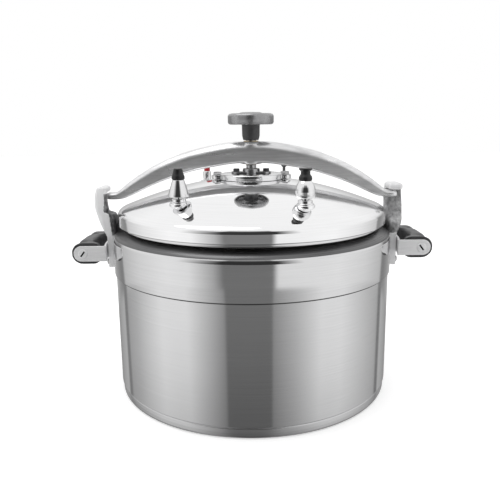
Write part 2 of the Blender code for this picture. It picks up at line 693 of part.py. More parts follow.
def build_float():
    """Red pressure indicator: a pin that rises in its seat, with a seal below the lid."""
    at = FLOAT_AT
    face = fitting_height(at) + GAP
    bottom = face - 0.0140
    rim = FLOAT_RIM_Z
    corners = [
        (0.0034, rim), (0.0054, rim, 0.0006), (0.0058, rim - 0.0050), (0.0054, face + 0.0036),
        (0.0092, face + 0.0030, 0.0006), (0.0092, face), (0.0060, face), (0.0060, bottom), (0.0034, bottom),
    ]
    turned("float_seat", corners, CHROME, LID, at, 16, closed=True)
    under = inner_face(at, 0.0095) - GAP
    nut("float_nut", 0.0063, 0.0100, under - 0.0045, under, SCREW_METAL, LID, at)
    pin = [
        (0.0, rim + 0.0122), (0.0030, rim + 0.0116), (0.0042, rim + 0.0095), (0.0042, rim + GAP),
        (0.0031, rim + GAP),
        (0.0031, bottom - 0.0075), (0.0042, bottom - 0.0075), (0.0042, bottom - 0.0090), (0.0, bottom - 0.0090),
    ]
    turned("float_pin", pin, RED, FLOAT, at, 16)
    ring("float_seal", 0.0034, 0.0058, bottom - 0.0072, bottom - 0.0048, SILICONE, FLOAT, at, 16)


def build_safety_valve():
    """Spring safety valve: body, seat, spring, lifting stem and lock nut."""
    at = SAFETY_AT
    face = fitting_height(at) + GAP
    bottom = face - 0.0130
    crown = SAFETY_TOP_Z
    corners = [
        (0.0024, crown), (0.0064, crown, 0.0010), (0.0072, crown - 0.0040), (0.0072, face + 0.0062),
        (0.0095, face + 0.0055, 0.0006), (0.0095, face), (0.0075, face), (0.0075, bottom), (0.0052, bottom),
        (0.0052, crown - 0.0030), (0.0024, crown - 0.0030),
    ]
    turned("safety_valve_body", corners, CHROME, LID, at, 16, closed=True)
    ring("safety_valve_seat", 0.0025, 0.0049, bottom, bottom + 0.0036, BRASS, LID, at, 20)
    disc = bottom + 0.0036 + GAP
    stem = [
        (0.0, 0.2885), (0.0036, 0.2885, 0.0008), (0.0040, 0.2835, 0.0006), (0.0021, 0.2828),
        (0.0021, disc + 0.0020), (0.0046, disc + 0.0020), (0.0046, disc), (0.0, disc),
    ]
    turned("safety_valve_stem", stem, BLACK_STEEL, SAFETY, at, 16)
    under = inner_face(at, 0.0112) - GAP
    nut("safety_valve_nut", 0.0078, 0.0116, under - 0.0045, under, SCREW_METAL, LID, at)
    build_spring("safety_valve_spring", at, disc + 0.0020 + 0.0009, crown - 0.0030 - 0.0009)


def build_spring(name, at, low, high):
    """Open coil of round wire as a bevelled curve."""
    turns, per_turn, radius = 4, 8, 0.0036
    curve = bpy.data.curves.new(name, "CURVE")
    curve.dimensions = "3D"
    curve.bevel_depth = 0.0005
    curve.bevel_resolution = 1
    curve.use_fill_caps = True
    curve.resolution_u = 1
    count = turns * per_turn + 1
    line = curve.splines.new("POLY")
    line.points.add(count - 1)
    for index, point in enumerate(line.points):
        angle = 2.0 * math.pi * index / per_turn
        height = (high - low) * index / (count - 1)
        point.co = (radius * math.cos(angle), radius * math.sin(angle), height, 1.0)
    curve.materials.append(SCREW_METAL)
    coil = bpy.data.objects.new(name, curve)
    PARTS.objects.link(coil)
    put(coil, (*at, low), LID)
    return coil


# ---------------------------------------------------------------- beam, screw and knob
def build_beam():
    """Arched clamp beam with a bored boss and a flat tongue at each end."""
    half = []
    for x, top, low, width in BEAM_STATIONS:
        crown = min(0.0115, (top - low) * 0.45, width * 0.8)
        foot = min(0.0040, (top - low) * 0.25)
        outline = rounded_rectangle(-width, width, low, top, [foot, crown, crown, foot], 3)
        half.append((x, outline))
    mirrored = [(-x, outline) for x, outline in reversed(half[1:])]
    beam = part(
        "clamp_beam", loft([[(x, y, z) for y, z in outline] for x, outline in mirrored + half]),
        CAST, BEAM,
    )
    boss = [
        (0.0, BEAM_BOSS_Z), (BEAM_BOSS_R, BEAM_BOSS_Z, 0.0020), (BEAM_BOSS_R, BEAM_BOTTOM_Z, 0.0012),
        (0.0, BEAM_BOTTOM_Z),
    ]
    boolean(beam, cutter("beam_boss", turned_mesh(rounded(boss), 24)), "UNION")
    boolean(beam, cutter("beam_bore", cylinder_mesh(BUSH_R + GAP, 0.280, 0.340, steps=20)), "DIFFERENCE")
    return beam


def build_bush():
    """Threaded bush pressed into the beam."""
    return ring("beam_bush", SCREW_R + GAP, BUSH_R, BEAM_BOTTOM_Z, BEAM_BOSS_Z, BRASS, BEAM, steps=20)


def build_screw():
    """Clamp screw with the collar that the retainer holds."""
    low = RETAINER_LOW + GAP
    corners = [
        (0.0, 0.3500), (SCREW_R, 0.3500, 0.0008), (SCREW_R, low + 0.0034), (COLLAR_R, low + 0.0034, 0.0005),
        (COLLAR_R, low), (0.0, low),
    ]
    return turned("clamp_screw", corners, SCREW_METAL, SCREW, steps=20)


def build_knob():
    """Lobed hand knob with a fluted stem, bored for the screw."""
    lobes, steps = 8, 48
    outlines = []
    for z, inset in (
        (KNOB_Z, 0.0030), (KNOB_Z + 0.0012, 0.0008), (KNOB_Z + 0.0035, 0.0), (KNOB_TOP_Z - 0.0040, 0.0),
        (KNOB_TOP_Z - 0.0014, 0.0012), (KNOB_TOP_Z, 0.0045),
    ):
        outline = []
        for index in range(steps):
            angle = 2.0 * math.pi * index / steps
            radius = KNOB_R - inset + 0.0006 * math.cos(lobes * angle) - 0.0006
            outline.append((radius * math.cos(angle), radius * math.sin(angle), z))
        outlines.append(outline)
    knob = part("knob", loft(outlines), BAKELITE, SCREW)
    stem_low = BEAM_BOSS_Z + 0.0007
    stem = [(0.0, KNOB_Z + 0.004), (0.0116, KNOB_Z + 0.004), (0.0116, stem_low + 0.0040), (0.0078, stem_low),
            (0.0, stem_low)]
    boolean(knob, cutter("knob_stem", turned_mesh(stem, 24)), "UNION")
    boolean(knob, cutter("knob_bore", cylinder_mesh(SCREW_R + GAP, 0.320, 0.3503, steps=20)), "DIFFERENCE")
    recess = cylinder_mesh(0.0158, KNOB_TOP_Z - 0.0030, KNOB_TOP_Z + 0.005, steps=24)
    boolean(knob, cutter("knob_recess", recess), "DIFFERENCE")
    cap = [
        (0.0, KNOB_TOP_Z + 0.0017), (0.0120, KNOB_TOP_Z + 0.0014), (0.0155, KNOB_TOP_Z + 0.0002),
        (0.0155, KNOB_TOP_Z - 0.0030 + GAP), (0.0, KNOB_TOP_Z - 0.0030 + GAP),
    ]
    turned("knob_cap", cap, BAKELITE, SCREW, steps=24)
    return knob


# ---------------------------------------------------------------- assembly
clear_scene()
PARTS = new_collection("pressure_canner")
CUTTERS = new_collection("cutters")

ALUMINIUM = material("spun_aluminium", (0.62, 0.62, 0.62), 0.34, 1.0)
BASE_METAL = material("base_aluminium", (0.50, 0.50, 0.50), 0.40, 1.0)
CAST = material("cast_aluminium", (0.60, 0.60, 0.59), 0.38, 1.0)
MIRROR = material("polished_aluminium", (0.82, 0.82, 0.82), 0.08, 1.0)
SATIN = material("satin_steel", (0.55, 0.55, 0.55), 0.30, 1.0)
TAB_METAL = material("strap_steel", (0.62, 0.62, 0.62), 0.32, 1.0)
SCREW_METAL = material("screw_steel", (0.50, 0.50, 0.50), 0.30, 1.0)
RIVET_METAL = material("rivet_aluminium", (0.60, 0.60, 0.60), 0.30, 1.0)
RACK_METAL = material("rack_aluminium", (0.66, 0.66, 0.66), 0.42, 1.0)
CHROME = material("chrome", (0.80, 0.80, 0.80), 0.08, 1.0)
BRASS = material("brass", (0.66, 0.52, 0.26), 0.28, 1.0)
BLACK_STEEL = material("black_steel", (0.05, 0.05, 0.05), 0.40, 1.0)
BAKELITE = material("bakelite", (0.045, 0.045, 0.047), 0.42, 0.0)
BLACK_PLASTIC = material("black_plastic", (0.015, 0.015, 0.016), 0.35, 0.0)
RED = material("red_plastic", (0.42, 0.02, 0.03), 0.35, 0.0)
SILICONE = material("silicone", (0.62, 0.60, 0.56), 0.60, 0.0)

POT = empty("pot_axis", (0.0, 0.0, 0.0))
RACK = empty("rack_axis", (0.0, 0.0, 0.0), POT)
LID = empty("lid_axis", (0.0, 0.0, SKIRT_Z), POT)
BEAM = empty("beam_axis", (0.0, 0.0, BEAM_BOTTOM_Z), POT)
SCREW = empty("screw_axis", (0.0, 0.0, RETAINER_LOW), LID)
WEIGHT_LEFT = empty("weight_left_axis", (*LEFT_VENT, VENT_TIP_Z), LID)
WEIGHT_RIGHT = empty("weight_right_axis", (*RIGHT_VENT, VENT_TIP_Z), LID)
FLOAT = empty("float_axis", (*FLOAT_AT, FLOAT_RIM_Z), LID)
SAFETY = empty("safety_axis", (*SAFETY_AT, SAFETY_TOP_Z), LID)

pot = build_pot()
build_base_disc()
build_rack()
WALL_SHAPE = wall_cutter()
for side_word, sign, post_x in (("left", -1, LEFT_POST_INNER_X), ("right", 1, POST_STATIONS[-2][1])):
    build_hook("hook_" + side_word, sign, post_x, WALL_SHAPE)
    holes = rivet_holes("wall_holes_" + side_word, sign, hook_rivets() + strap_rivets(sign))
    boolean(pot, holes, "DIFFERENCE")
    for end_word, (turn, height) in zip(("rear", "front"), hook_rivets()):
        build_rivet(f"hook_rivet_{side_word}_{end_word}", sign, turn, height, FOOT_R)
    for end_word, (turn, height) in zip(("rear", "front"), strap_rivets(sign)):
        build_rivet(f"strap_rivet_{side_word}_{end_word}", sign, turn, height, FOOT_R + GAP + STRAP_T)
    build_strap("handle_strap_" + side_word, sign)
    build_grip("handle_grip_" + side_word, sign)
    build_grip_bolt(side_word, sign)

build_lid()
build_gasket()
build_seat()
build_retainer()
build_vent("left", LEFT_VENT)
build_vent("right", RIGHT_VENT)
build_weight_left()
build_weight_right()
build_float()
build_safety_valve()

build_beam()
build_bush()
build_screw()
build_knob()
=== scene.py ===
# %% [markdown]
# # A clamp-beam pressure canner
# This lesson dresses a finished frame of a large pressure canner. The frame gives each part's place and
# its motion. Here each visible part gets a finer shape and the finish that its metal or plastic has.
# All sizes are in metres, Z is up and the front faces -Y.

import math

import bmesh
import bpy
from mathutils import Matrix, Vector


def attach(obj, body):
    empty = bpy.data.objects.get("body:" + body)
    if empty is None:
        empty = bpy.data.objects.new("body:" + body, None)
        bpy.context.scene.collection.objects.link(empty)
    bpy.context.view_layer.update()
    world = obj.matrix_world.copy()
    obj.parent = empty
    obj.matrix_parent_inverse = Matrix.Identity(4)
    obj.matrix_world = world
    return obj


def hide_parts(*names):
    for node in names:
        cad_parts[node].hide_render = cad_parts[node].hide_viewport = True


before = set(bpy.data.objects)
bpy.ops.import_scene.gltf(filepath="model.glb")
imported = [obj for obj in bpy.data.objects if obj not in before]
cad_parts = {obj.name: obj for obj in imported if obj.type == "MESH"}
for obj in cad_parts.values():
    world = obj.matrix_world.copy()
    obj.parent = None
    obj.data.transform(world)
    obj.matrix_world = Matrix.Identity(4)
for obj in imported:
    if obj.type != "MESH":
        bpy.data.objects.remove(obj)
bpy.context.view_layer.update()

# %% [markdown]
# ## The camera
# The canner is seen from close by and slightly above, so that the round edges open into ellipses. A
# camera at the height of the knob, tipped down by 12 degrees, gives that. It is rolled by half a degree.

# %% Place the camera
camera_data = bpy.data.cameras.new("camera")
camera_data.sensor_width = 36.0
camera_data.lens = 42.2
camera_data.shift_x = -0.00405
camera = bpy.data.objects.new("camera", camera_data)
camera.matrix_world = (
    Matrix.Translation((0.0, -0.775, 0.348))
    @ Matrix.Rotation(math.radians(77.64), 4, "X")
    @ Matrix.Rotation(math.radians(-0.553), 4, "Z")
)
bpy.context.scene.collection.objects.link(camera)
bpy.context.scene.camera = camera
bpy.context.scene.view_settings.view_transform = "Standard"
print("camera stands", round(camera.location.length, 3), "m from the pot's foot")

# %% [markdown]
# ## The studio
# Bare metal shows its room more than its own colour. A product studio for metal has a wide white cloth
# over and behind the object, a soft box on each side, and a dark gap where the camera stands. A sky made
# of two ramps, one round the compass and one up the sky, gives those soft edges, which flat lamps can't.

# %% A short way to add a node
def node(tree, kind, inputs=None, **settings):
    made = tree.nodes.new("ShaderNode" + kind)
    for key, value in settings.items():
        setattr(made, key, value)
    for key, value in (inputs or {}).items():
        if isinstance(value, bpy.types.NodeSocket):
            tree.links.new(value, made.inputs[key])
        else:
            made.inputs[key].default_value = value
    return made


def ramp(tree, factor, stops):
    """Straight steps between stops (place, grey level or colour)."""
    made = node(tree, "ValToRGB", {"Fac": factor})
    made.color_ramp.interpolation = "LINEAR"
    elements = made.color_ramp.elements
    while len(elements) < len(stops):
        elements.new(0.5)
    for element, (place, shade) in zip(elements, stops):
        element.position = place
        level = shade if isinstance(shade, tuple) else (shade, shade, shade)
        element.color = (*level, 1.0)
    return made.outputs["Color"]


# %% Paint the sky
world = bpy.data.worlds.new("studio")
world.use_nodes = True
bpy.context.scene.world = world
sky = world.node_tree
sky.nodes.clear()
direction = node(sky, "TexCoord").outputs["Generated"]
parts = node(sky, "SeparateXYZ", {0: direction})
backwards = node(sky, "Math", {0: parts.outputs["Y"], 1: -1.0}, operation="MULTIPLY")
compass = node(sky, "Math", {0: parts.outputs["X"], 1: backwards.outputs[0]}, operation="ARCTAN2")
turn = node(sky, "MapRange", {
    "Value": compass.outputs[0], "From Min": -math.pi, "From Max": math.pi,
})
FLOOR_STOPS = [                   # what the pot's side mirrors: degrees from the front, brightness
    (-180, 0.50), (-168, 0.42), (-155, 0.32), (-146, 0.42), (-135.5, 0.52), (-134, 0.24), (-129, 0.24),
    (-127.5, 0.42), (-112, 0.54), (-100, 0.70), (-80, 0.95), (-55, 0.95), (-35, 0.58), (-22.6, 0.34),
    (-22.0, 0.20), (15.8, 0.20), (16.4, 0.34), (35, 0.58), (58, 0.95), (78, 0.95), (100, 0.72),
    (112, 0.60), (127.5, 0.46), (129, 0.22), (134, 0.22), (135.5, 0.52), (146, 0.42), (155, 0.32),
    (168, 0.42), (180, 0.50),
]
WALL_STOPS = [                    # what the upper band mirrors
    (-180, 0.70), (-150, 0.40), (-134, 0.26), (-129, 0.26), (-126, 0.60), (-100, 0.84), (-70, 1.0),
    (-50, 0.96), (-30, 0.50), (-22.0, 0.21), (15.8, 0.21), (20, 0.92), (70, 1.0), (100, 0.84),
    (126, 0.60), (129, 0.26), (134, 0.26), (150, 0.40), (180, 0.70),
]


def compass_ramp(stops):
    return ramp(sky, turn.outputs[0], [((a + 180) / 360, b) for a, b in stops])


def height_ramp(stops):
    return ramp(sky, height.outputs[0], [((z + 1) / 2, b) for z, b in stops])


def mix(factor, first, second):
    return node(sky, "MixRGB", {"Fac": factor, "Color1": first, "Color2": second}).outputs[0]


def multiply(first, second):
    inputs = {"Fac": 1.0, "Color1": first, "Color2": second}
    return node(sky, "MixRGB", inputs, blend_type="MULTIPLY").outputs[0]


height = node(sky, "MapRange", {"Value": parts.outputs["Z"], "From Min": -1.0, "From Max": 1.0})
band_share = height_ramp([(-0.315, 0.0), (-0.295, 1.0)])
around = mix(band_share, compass_ramp(FLOOR_STOPS), compass_ramp(WALL_STOPS))
downwards = height_ramp([(-1.0, 0.42), (-0.60, 0.64), (-0.50, 0.87), (-0.42, 0.98), (-0.36, 1.0)])
walls = multiply(around, downwards)
gap = compass_ramp([(-30, 0.0), (-21, 1.0), (19, 1.0), (27, 0.0)])
beside_gap = height_ramp([(0.06, 0.0), (0.25, 0.75), (0.50, 1.0)])
over_gap = height_ramp([(0.66, 0.0), (0.80, 1.0)])
upper = mix(gap, beside_gap, over_gap)
open_sky = mix(upper, walls, (0.97, 0.97, 0.97, 1.0))
edge_height = height_ramp([(-0.10, 0.0), (-0.07, 1.0), (0.50, 1.0), (0.66, 0.0)])
edge_compass = compass_ramp([(-60, 0.0), (-24, 1.0), (20, 1.0), (40, 0.0)])
edge_band = multiply(edge_height, edge_compass)
dome = mix(edge_band, open_sky, (0.04, 0.04, 0.04, 1.0))
seen = node(sky, "LightPath").outputs["Is Camera Ray"]
paper = node(sky, "MixRGB", {"Fac": seen, "Color1": dome, "Color2": (1.0, 1.0, 1.0, 1.0)})
light = node(sky, "Background", {"Color": paper.outputs[0], "Strength": 1.0})
node(sky, "OutputWorld", {"Surface": light.outputs[0]})
print("sky has", len(FLOOR_STOPS), "stops round the compass")

# %% [markdown]
# The floor is a plain pale sheet. It is partly self-lit, so that it stays white far away and still takes
# the soft shadow at the pot's foot. It is kept out of reflections, where the sky already gives the floor.

# %% Lay the floor
bm = bmesh.new()
bmesh.ops.create_circle(bm, cap_ends=True, segments=64, radius=6.0)
floor_mesh = bpy.data.meshes.new("floor")
bm.to_mesh(floor_mesh)
bm.free()
floor = bpy.data.objects.new("floor", floor_mesh)
bpy.context.scene.collection.objects.link(floor)
floor.location.z = -0.0004
floor.visible_glossy = False
paper_mat = bpy.data.materials.new("floor_paper")
paper_mat.use_nodes = True
tree = paper_mat.node_tree
tree.nodes.clear()
matt = node(tree, "BsdfDiffuse", {"Color": (0.90, 0.90, 0.90, 1.0)})
glow = node(tree, "Emission", {"Color": (1.0, 1.0, 1.0, 1.0), "Strength": 0.42})
both = node(tree, "AddShader", {0: matt.outputs[0], 1: glow.outputs[0]})
node(tree, "OutputMaterial", {"Surface": both.outputs[0]})
floor_mesh.materials.append(paper_mat)

# %% Hang a soft lamp overhead
lamp = bpy.data.lights.new("overhead", "AREA")
lamp.shape = "DISK"
lamp.size = 0.9
lamp.energy = 3.0
lamp_object = bpy.data.objects.new("overhead", lamp)
lamp_object.location = (-0.35, -0.10, 1.30)
lamp_object.rotation_euler = (0.0, math.radians(-15.0), 0.0)
bpy.context.scene.collection.objects.link(lamp_object)
print("lamp", lamp.energy, "W")

# %% [markdown]
# ## Finishes
# A turned pot shows fine rings, because the brush held still while the pot spun. Rings follow the
# distance from the axis and the height, so the pattern is made from those two and not from X and Y.

# %% Coordinates for rings
def ring_coordinates(tree, fineness):
    """Radius and height, stretched so that noise comes out as rings, with slow change round them."""
    place = node(tree, "TexCoord").outputs["Object"]
    axes = node(tree, "SeparateXYZ", {0: place})
    flat = node(tree, "CombineXYZ", {"X": axes.outputs["X"], "Y": axes.outputs["Y"], "Z": 0.0})
    radius = node(tree, "VectorMath", {0: flat.outputs[0]}, operation="LENGTH")
    rise = node(tree, "Math", {0: axes.outputs["Z"], 1: fineness}, operation="MULTIPLY")
    out = node(tree, "Math", {0: radius.outputs["Value"], 1: fineness}, operation="MULTIPLY")
    along = node(tree, "Math", {0: axes.outputs["X"], 1: axes.outputs["Y"]}, operation="ADD")
    slow = node(tree, "Math", {0: along.outputs[0], 1: 9.0}, operation="MULTIPLY")
    rings = node(tree, "CombineXYZ", {"X": out.outputs[0], "Y": slow.outputs[0], "Z": rise.outputs[0]})
    return rings.outputs[0]


def new_finish(name, metallic):
    finish = bpy.data.materials.new(name)
    finish.use_nodes = True
    shader = finish.node_tree.nodes["Principled BSDF"]
    shader.inputs["Metallic"].default_value = metallic
    return finish, finish.node_tree, shader


def bumped(tree, shader, height_socket, depth, strength=0.5):
    bump = node(tree, "Bump", {"Height": height_socket, "Distance": depth, "Strength": strength})
    tree.links.new(bump.outputs["Normal"], shader.inputs["Normal"])


def turned_finish(name, dark, bright, smooth, rough, fineness, depth):
    """Metal with turning rings: their shade, gloss and relief all follow the same rings."""
    finish, tree, shader = new_finish(name, 1.0)
    rings = node(tree, "TexNoise", {"Vector": ring_coordinates(tree, fineness), "Scale": 1.0,
                                    "Detail": 4.0, "Roughness": 0.6})
    place = node(tree, "TexCoord").outputs["Object"]
    clouds = node(tree, "TexNoise", {"Vector": place, "Scale": 11.0, "Detail": 3.0})
    mixed = node(tree, "Mix", {"Factor": 0.35, "A": rings.outputs["Fac"], "B": clouds.outputs["Fac"]})
    shade = ramp(tree, mixed.outputs["Result"], [(0.30, dark), (0.70, bright)])
    tree.links.new(shade, shader.inputs["Base Color"])
    gloss = node(tree, "MapRange", {"Value": mixed.outputs["Result"], "From Min": 0.3, "From Max": 0.7,
                                    "To Min": smooth, "To Max": rough})
    tree.links.new(gloss.outputs[0], shader.inputs["Roughness"])
    bumped(tree, shader, rings.outputs["Fac"], depth)
    return finish


# %% [markdown]
# Cast aluminium has a fine sandy grain, wide soft unevenness, and brighter places where hands and the
# beam have rubbed it. Polish marks run along the casting.

# %% Cast metal
def cast_finish(name, dark, bright, smooth, rough, grain, depth, along, metallic=1.0):
    finish, tree, shader = new_finish(name, metallic)
    place = node(tree, "TexCoord").outputs["Object"]
    sand = node(tree, "TexNoise", {"Vector": place, "Scale": grain, "Detail": 5.0, "Roughness": 0.65})
    wide = node(tree, "TexNoise", {"Vector": place, "Scale": 24.0, "Detail": 2.0})
    stretched = node(tree, "Mapping", {"Vector": place, "Scale": along})
    marks = node(tree, "TexNoise", {"Vector": stretched.outputs[0], "Scale": 1.0, "Detail": 3.0})
    worn = node(tree, "Mix", {"Factor": 0.45, "A": wide.outputs["Fac"], "B": marks.outputs["Fac"]})
    shade = ramp(tree, worn.outputs["Result"], [(0.32, dark), (0.66, bright)])
    tree.links.new(shade, shader.inputs["Base Color"])
    gloss = node(tree, "MapRange", {"Value": worn.outputs["Result"], "From Min": 0.3, "From Max": 0.7,
                                    "To Min": rough, "To Max": smooth})
    tree.links.new(gloss.outputs[0], shader.inputs["Roughness"])
    relief = node(tree, "Mix", {"Factor": 0.35, "A": sand.outputs["Fac"], "B": marks.outputs["Fac"]})
    bumped(tree, shader, relief.outputs["Result"], depth)
    return finish


# %% [markdown]
# Moulded phenolic plastic is nearly black, with faint lighter flecks of its filler, a slight ripple from
# the mould, and a dull skin that turns glossier where it is handled.

# %% Moulded plastic
def moulded_finish(name, dark, bright, smooth, rough, depth=0.00012, flecks=900.0, metallic=0.0):
    finish, tree, shader = new_finish(name, metallic)
    place = node(tree, "TexCoord").outputs["Object"]
    filler = node(tree, "TexNoise", {"Vector": place, "Scale": flecks, "Detail": 3.0})
    swirl = node(tree, "TexNoise", {"Vector": place, "Scale": 45.0, "Detail": 4.0, "Distortion": 1.2})
    mixed = node(tree, "Mix", {"Factor": 0.5, "A": filler.outputs["Fac"], "B": swirl.outputs["Fac"]})
    shade = ramp(tree, mixed.outputs["Result"], [(0.38, dark), (0.62, bright)])
    tree.links.new(shade, shader.inputs["Base Color"])
    gloss = node(tree, "MapRange", {"Value": swirl.outputs["Fac"], "From Min": 0.3, "From Max": 0.7,
                                    "To Min": smooth, "To Max": rough})
    tree.links.new(gloss.outputs[0], shader.inputs["Roughness"])
    bumped(tree, shader, mixed.outputs["Result"], depth, 0.3)
    return finish


# %% Mix the finishes
def grey(level, blue=0.005):
    """A metal's grey, with a little more blue than red and green."""
    return (level, level, level + blue)


# Each finish has a dark and a bright shade, a smooth and a rough gloss, the fineness of its pattern and
# the depth of its relief. A casting also has the stretch of its marks, and how metallic its skin is.
FINISH = {
    "wall": turned_finish("brushed_wall", grey(0.68), grey(0.76), 0.06, 0.11, 1300.0, 0.00001),
    # The shoulder's dark finish is painted shade: the shade under the lid's skirt and in the band's crease.
    "shoulder": turned_finish("shoulder_painted_shade", grey(0.10, 0.002), grey(0.20, 0.002), 0.24, 0.36, 900.0,
                              0.00003),
    "base": turned_finish("turned_base", grey(0.54), grey(0.66), 0.16, 0.26, 1100.0, 0.00002),
    "lid": turned_finish("polished_lid", grey(0.88), grey(0.95), 0.035, 0.085, 700.0, 0.000002),
    "seat": turned_finish("polished_seat", grey(0.76), grey(0.86), 0.08, 0.15, 900.0, 0.000006),
    "beam": cast_finish("cast_beam", grey(0.58), grey(0.94), 0.24, 0.38, 1500.0, 0.00020,
                        (10.0, 260.0, 260.0), 0.80),
    "hook": cast_finish("cast_hook", grey(0.78), grey(0.94), 0.36, 0.48, 1200.0, 0.00018,
                        (220.0, 220.0, 30.0), 0.12),
    # The hooks' rougher inner skin, dark with painted shade in their opening and against the pot.
    "hook_painted_shade": cast_finish("cast_painted_shade", grey(0.05, 0.002), grey(0.60), 0.46, 0.62, 700.0, 0.00060,
                       (260.0, 260.0, 160.0), 0.6),
    "retainer": cast_finish("satin_bridge", grey(0.36), grey(0.50), 0.24, 0.34, 2200.0, 0.00004,
                            (60.0, 700.0, 60.0)),
    "strap": cast_finish("brushed_strap", grey(0.78), grey(0.94), 0.40, 0.50, 2600.0, 0.00003,
                         (60.0, 60.0, 1100.0), 0.45),
    # Near-black painted shade for the inside of the bolts' slots.
    "slot_shade": cast_finish("slot_painted_shade", grey(0.012, 0.0), grey(0.030, 0.0), 0.50, 0.65, 2400.0, 0.00003,
                          (300.0, 300.0, 300.0)),
    "rivet": cast_finish("bright_rivet", grey(0.56, 0.0), grey(0.72, 0.0), 0.22, 0.36, 2400.0, 0.00003,
                         (300.0, 300.0, 300.0)),
    "rack": cast_finish("pressed_rack", grey(0.56, 0.0), grey(0.72, 0.0), 0.32, 0.46, 1500.0, 0.00004,
                        (40.0, 700.0, 40.0)),
    "screw": cast_finish("plated_steel", grey(0.40), grey(0.56), 0.22, 0.36, 2400.0, 0.00003,
                         (60.0, 60.0, 900.0)),
    "chrome": cast_finish("chrome", grey(0.78), grey(0.86), 0.05, 0.10, 900.0, 0.000006,
                          (60.0, 60.0, 900.0)),
    "brass": cast_finish("turned_brass", (0.56, 0.42, 0.20), (0.74, 0.58, 0.30), 0.20, 0.34, 2400.0, 0.00003,
                         (60.0, 60.0, 1200.0)),
    "black_steel": cast_finish("blackened_steel", grey(0.05, 0.002), grey(0.11, 0.002), 0.30, 0.46, 2400.0,
                               0.00004, (200.0, 200.0, 200.0)),
    "bakelite": moulded_finish("phenolic", grey(0.030, 0.002), grey(0.060, 0.002), 0.30, 0.44),
    "knob": moulded_finish("satin_knob", grey(0.28), grey(0.37), 0.22, 0.30, metallic=0.78),
    "cap": moulded_finish("black_cap", grey(0.005, 0.001), grey(0.014, 0.001), 0.28, 0.40),
    "red": moulded_finish("red_pin", (0.34, 0.012, 0.020), (0.46, 0.022, 0.030), 0.26, 0.38),
    "silicone": moulded_finish("silicone", (0.52, 0.50, 0.46), (0.64, 0.62, 0.58), 0.50, 0.64,
                               depth=0.00005, flecks=300.0),
}
print("finishes", len(FINISH))

# %% [markdown]
# ## Turned parts
# The pot, base, lid, weights and valves were all turned or spun on one axis. Each starts as a bare
# outline of a few corners. A bevel on single corners rounds them, and a full spin closes the shape.

# %% Turn an outline into a piece
def place_piece(name, bm, finish, body, nodes, sharp=32.0, second=None):
    """Clean a bmesh, make it a smooth-shaded object and let it ride on its body.

    Faces with material_index 1 take the second finish. Edges sharper than sharp degrees stay crisp.
    """
    bmesh.ops.remove_doubles(bm, verts=bm.verts, dist=1e-6)
    bmesh.ops.dissolve_degenerate(bm, edges=bm.edges, dist=1e-7)
    bmesh.ops.recalc_face_normals(bm, faces=bm.faces)
    mesh = bpy.data.meshes.new(name)
    bm.to_mesh(mesh)
    bm.free()
    mesh.materials.append(FINISH[finish])
    if second:
        mesh.materials.append(FINISH[second])
    mesh.shade_smooth()
    mesh.set_sharp_from_angle(angle=math.radians(sharp))
    piece = bpy.data.objects.new(name, mesh)
    bpy.context.scene.collection.objects.link(piece)
    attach(piece, body)
    if nodes:
        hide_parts(*nodes)
    print(name, len(mesh.polygons), "faces")
    return piece


def spun(corners, at=(0.0, 0.0), steps=96, closed=False, segments=4):
    """Spin corners (radius, height, rounding), listed along the outline, round the axis through at."""
    bm = bmesh.new()
    verts = [bm.verts.new((c[0], 0.0, c[1])) for c in corners]
    for pair in zip(verts, verts[1:] + verts[:1] if closed else verts[1:]):
        bm.edges.new(pair)
    for vert, corner in zip(verts, corners):
        if len(corner) > 2:
            bmesh.ops.bevel(bm, geom=[vert], offset=corner[2], offset_type="OFFSET", segments=segments,
                            profile=0.5, affect="VERTICES", material=-1)
    bmesh.ops.spin(bm, geom=bm.verts[:] + bm.edges[:], axis=(0, 0, 1), cent=(0, 0, 0),
                   angle=2.0 * math.pi, steps=steps, use_merge=True, use_duplicate=False)
    bmesh.ops.translate(bm, verts=bm.verts, vec=(at[0], at[1], 0.0))
    return bm


# %% The pot
WALL_R = 0.1800
BAND_R = 0.1818                   # the thicker band above BAND_Z
BAND_Z = 0.1590
INNER_R = 0.1758
DISC_H = 0.0134                   # height of the base disc
POT_FLOOR = DISC_H + 0.0051
POT_FOOT = DISC_H + 0.0003
NECK_R = 0.1655
NECK_INNER_R = 0.1605
NECK_TOP = 0.2275
# above this height the shoulder takes painted shade, dark for the shade under the lid's skirt
SHOULDER_SHADE_LOW = 0.2072
pot_outline = [
    (0.0, POT_FLOOR), (INNER_R, POT_FLOOR, 0.010), (INNER_R, 0.2045, 0.006), (NECK_INNER_R, 0.2120, 0.003),
    (NECK_INNER_R, NECK_TOP, 0.0015), (NECK_R, NECK_TOP, 0.0015), (NECK_R, 0.2165, 0.0012),
    (BAND_R, 0.2075, 0.0060), (BAND_R, BAND_Z, 0.0007), (WALL_R, BAND_Z - 0.0010, 0.0004),
    (WALL_R, POT_FOOT, 0.0012), (0.0, POT_FOOT),
]
pot = spun(pot_outline, steps=256, segments=6)
for face in pot.faces:
    middle = face.calc_center_median()
    # The shoulder faces are painted shade: dark for the shade under the lid's skirt.
    shoulder = middle.z > SHOULDER_SHADE_LOW and middle.xy.length > NECK_R + 0.0009
    # The step just under the band is painted shade: a dark line in its crease.
    band_crease_shade = BAND_Z - 0.0016 < middle.z < BAND_Z + 0.0005 and middle.xy.length > 0.1780
    face.material_index = 1 if shoulder or band_crease_shade else 0
place_piece("pot", pot, "wall", "pot", ["pot_body"], second="shoulder")

# %% The base disc
base_outline = [
    (0.0, DISC_H), (0.1772, DISC_H, 0.0006), (0.1785, DISC_H - 0.0016, 0.0006), (0.1785, 0.0, 0.0034),
    (0.0, 0.0),
]
base = spun(base_outline, steps=256, segments=6)
place_piece("base_plate", base, "base", "pot", ["base_disc"])

# %% [markdown]
# ## The lid
# The lid is a dome that rises ever more gently to a flat middle, with a skirt round the pot's neck. A
# mirror shows every flat spot, so the dome's outline is taken at close steps from one smooth curve. Round
# pads on the slope give each fitting a level seat.

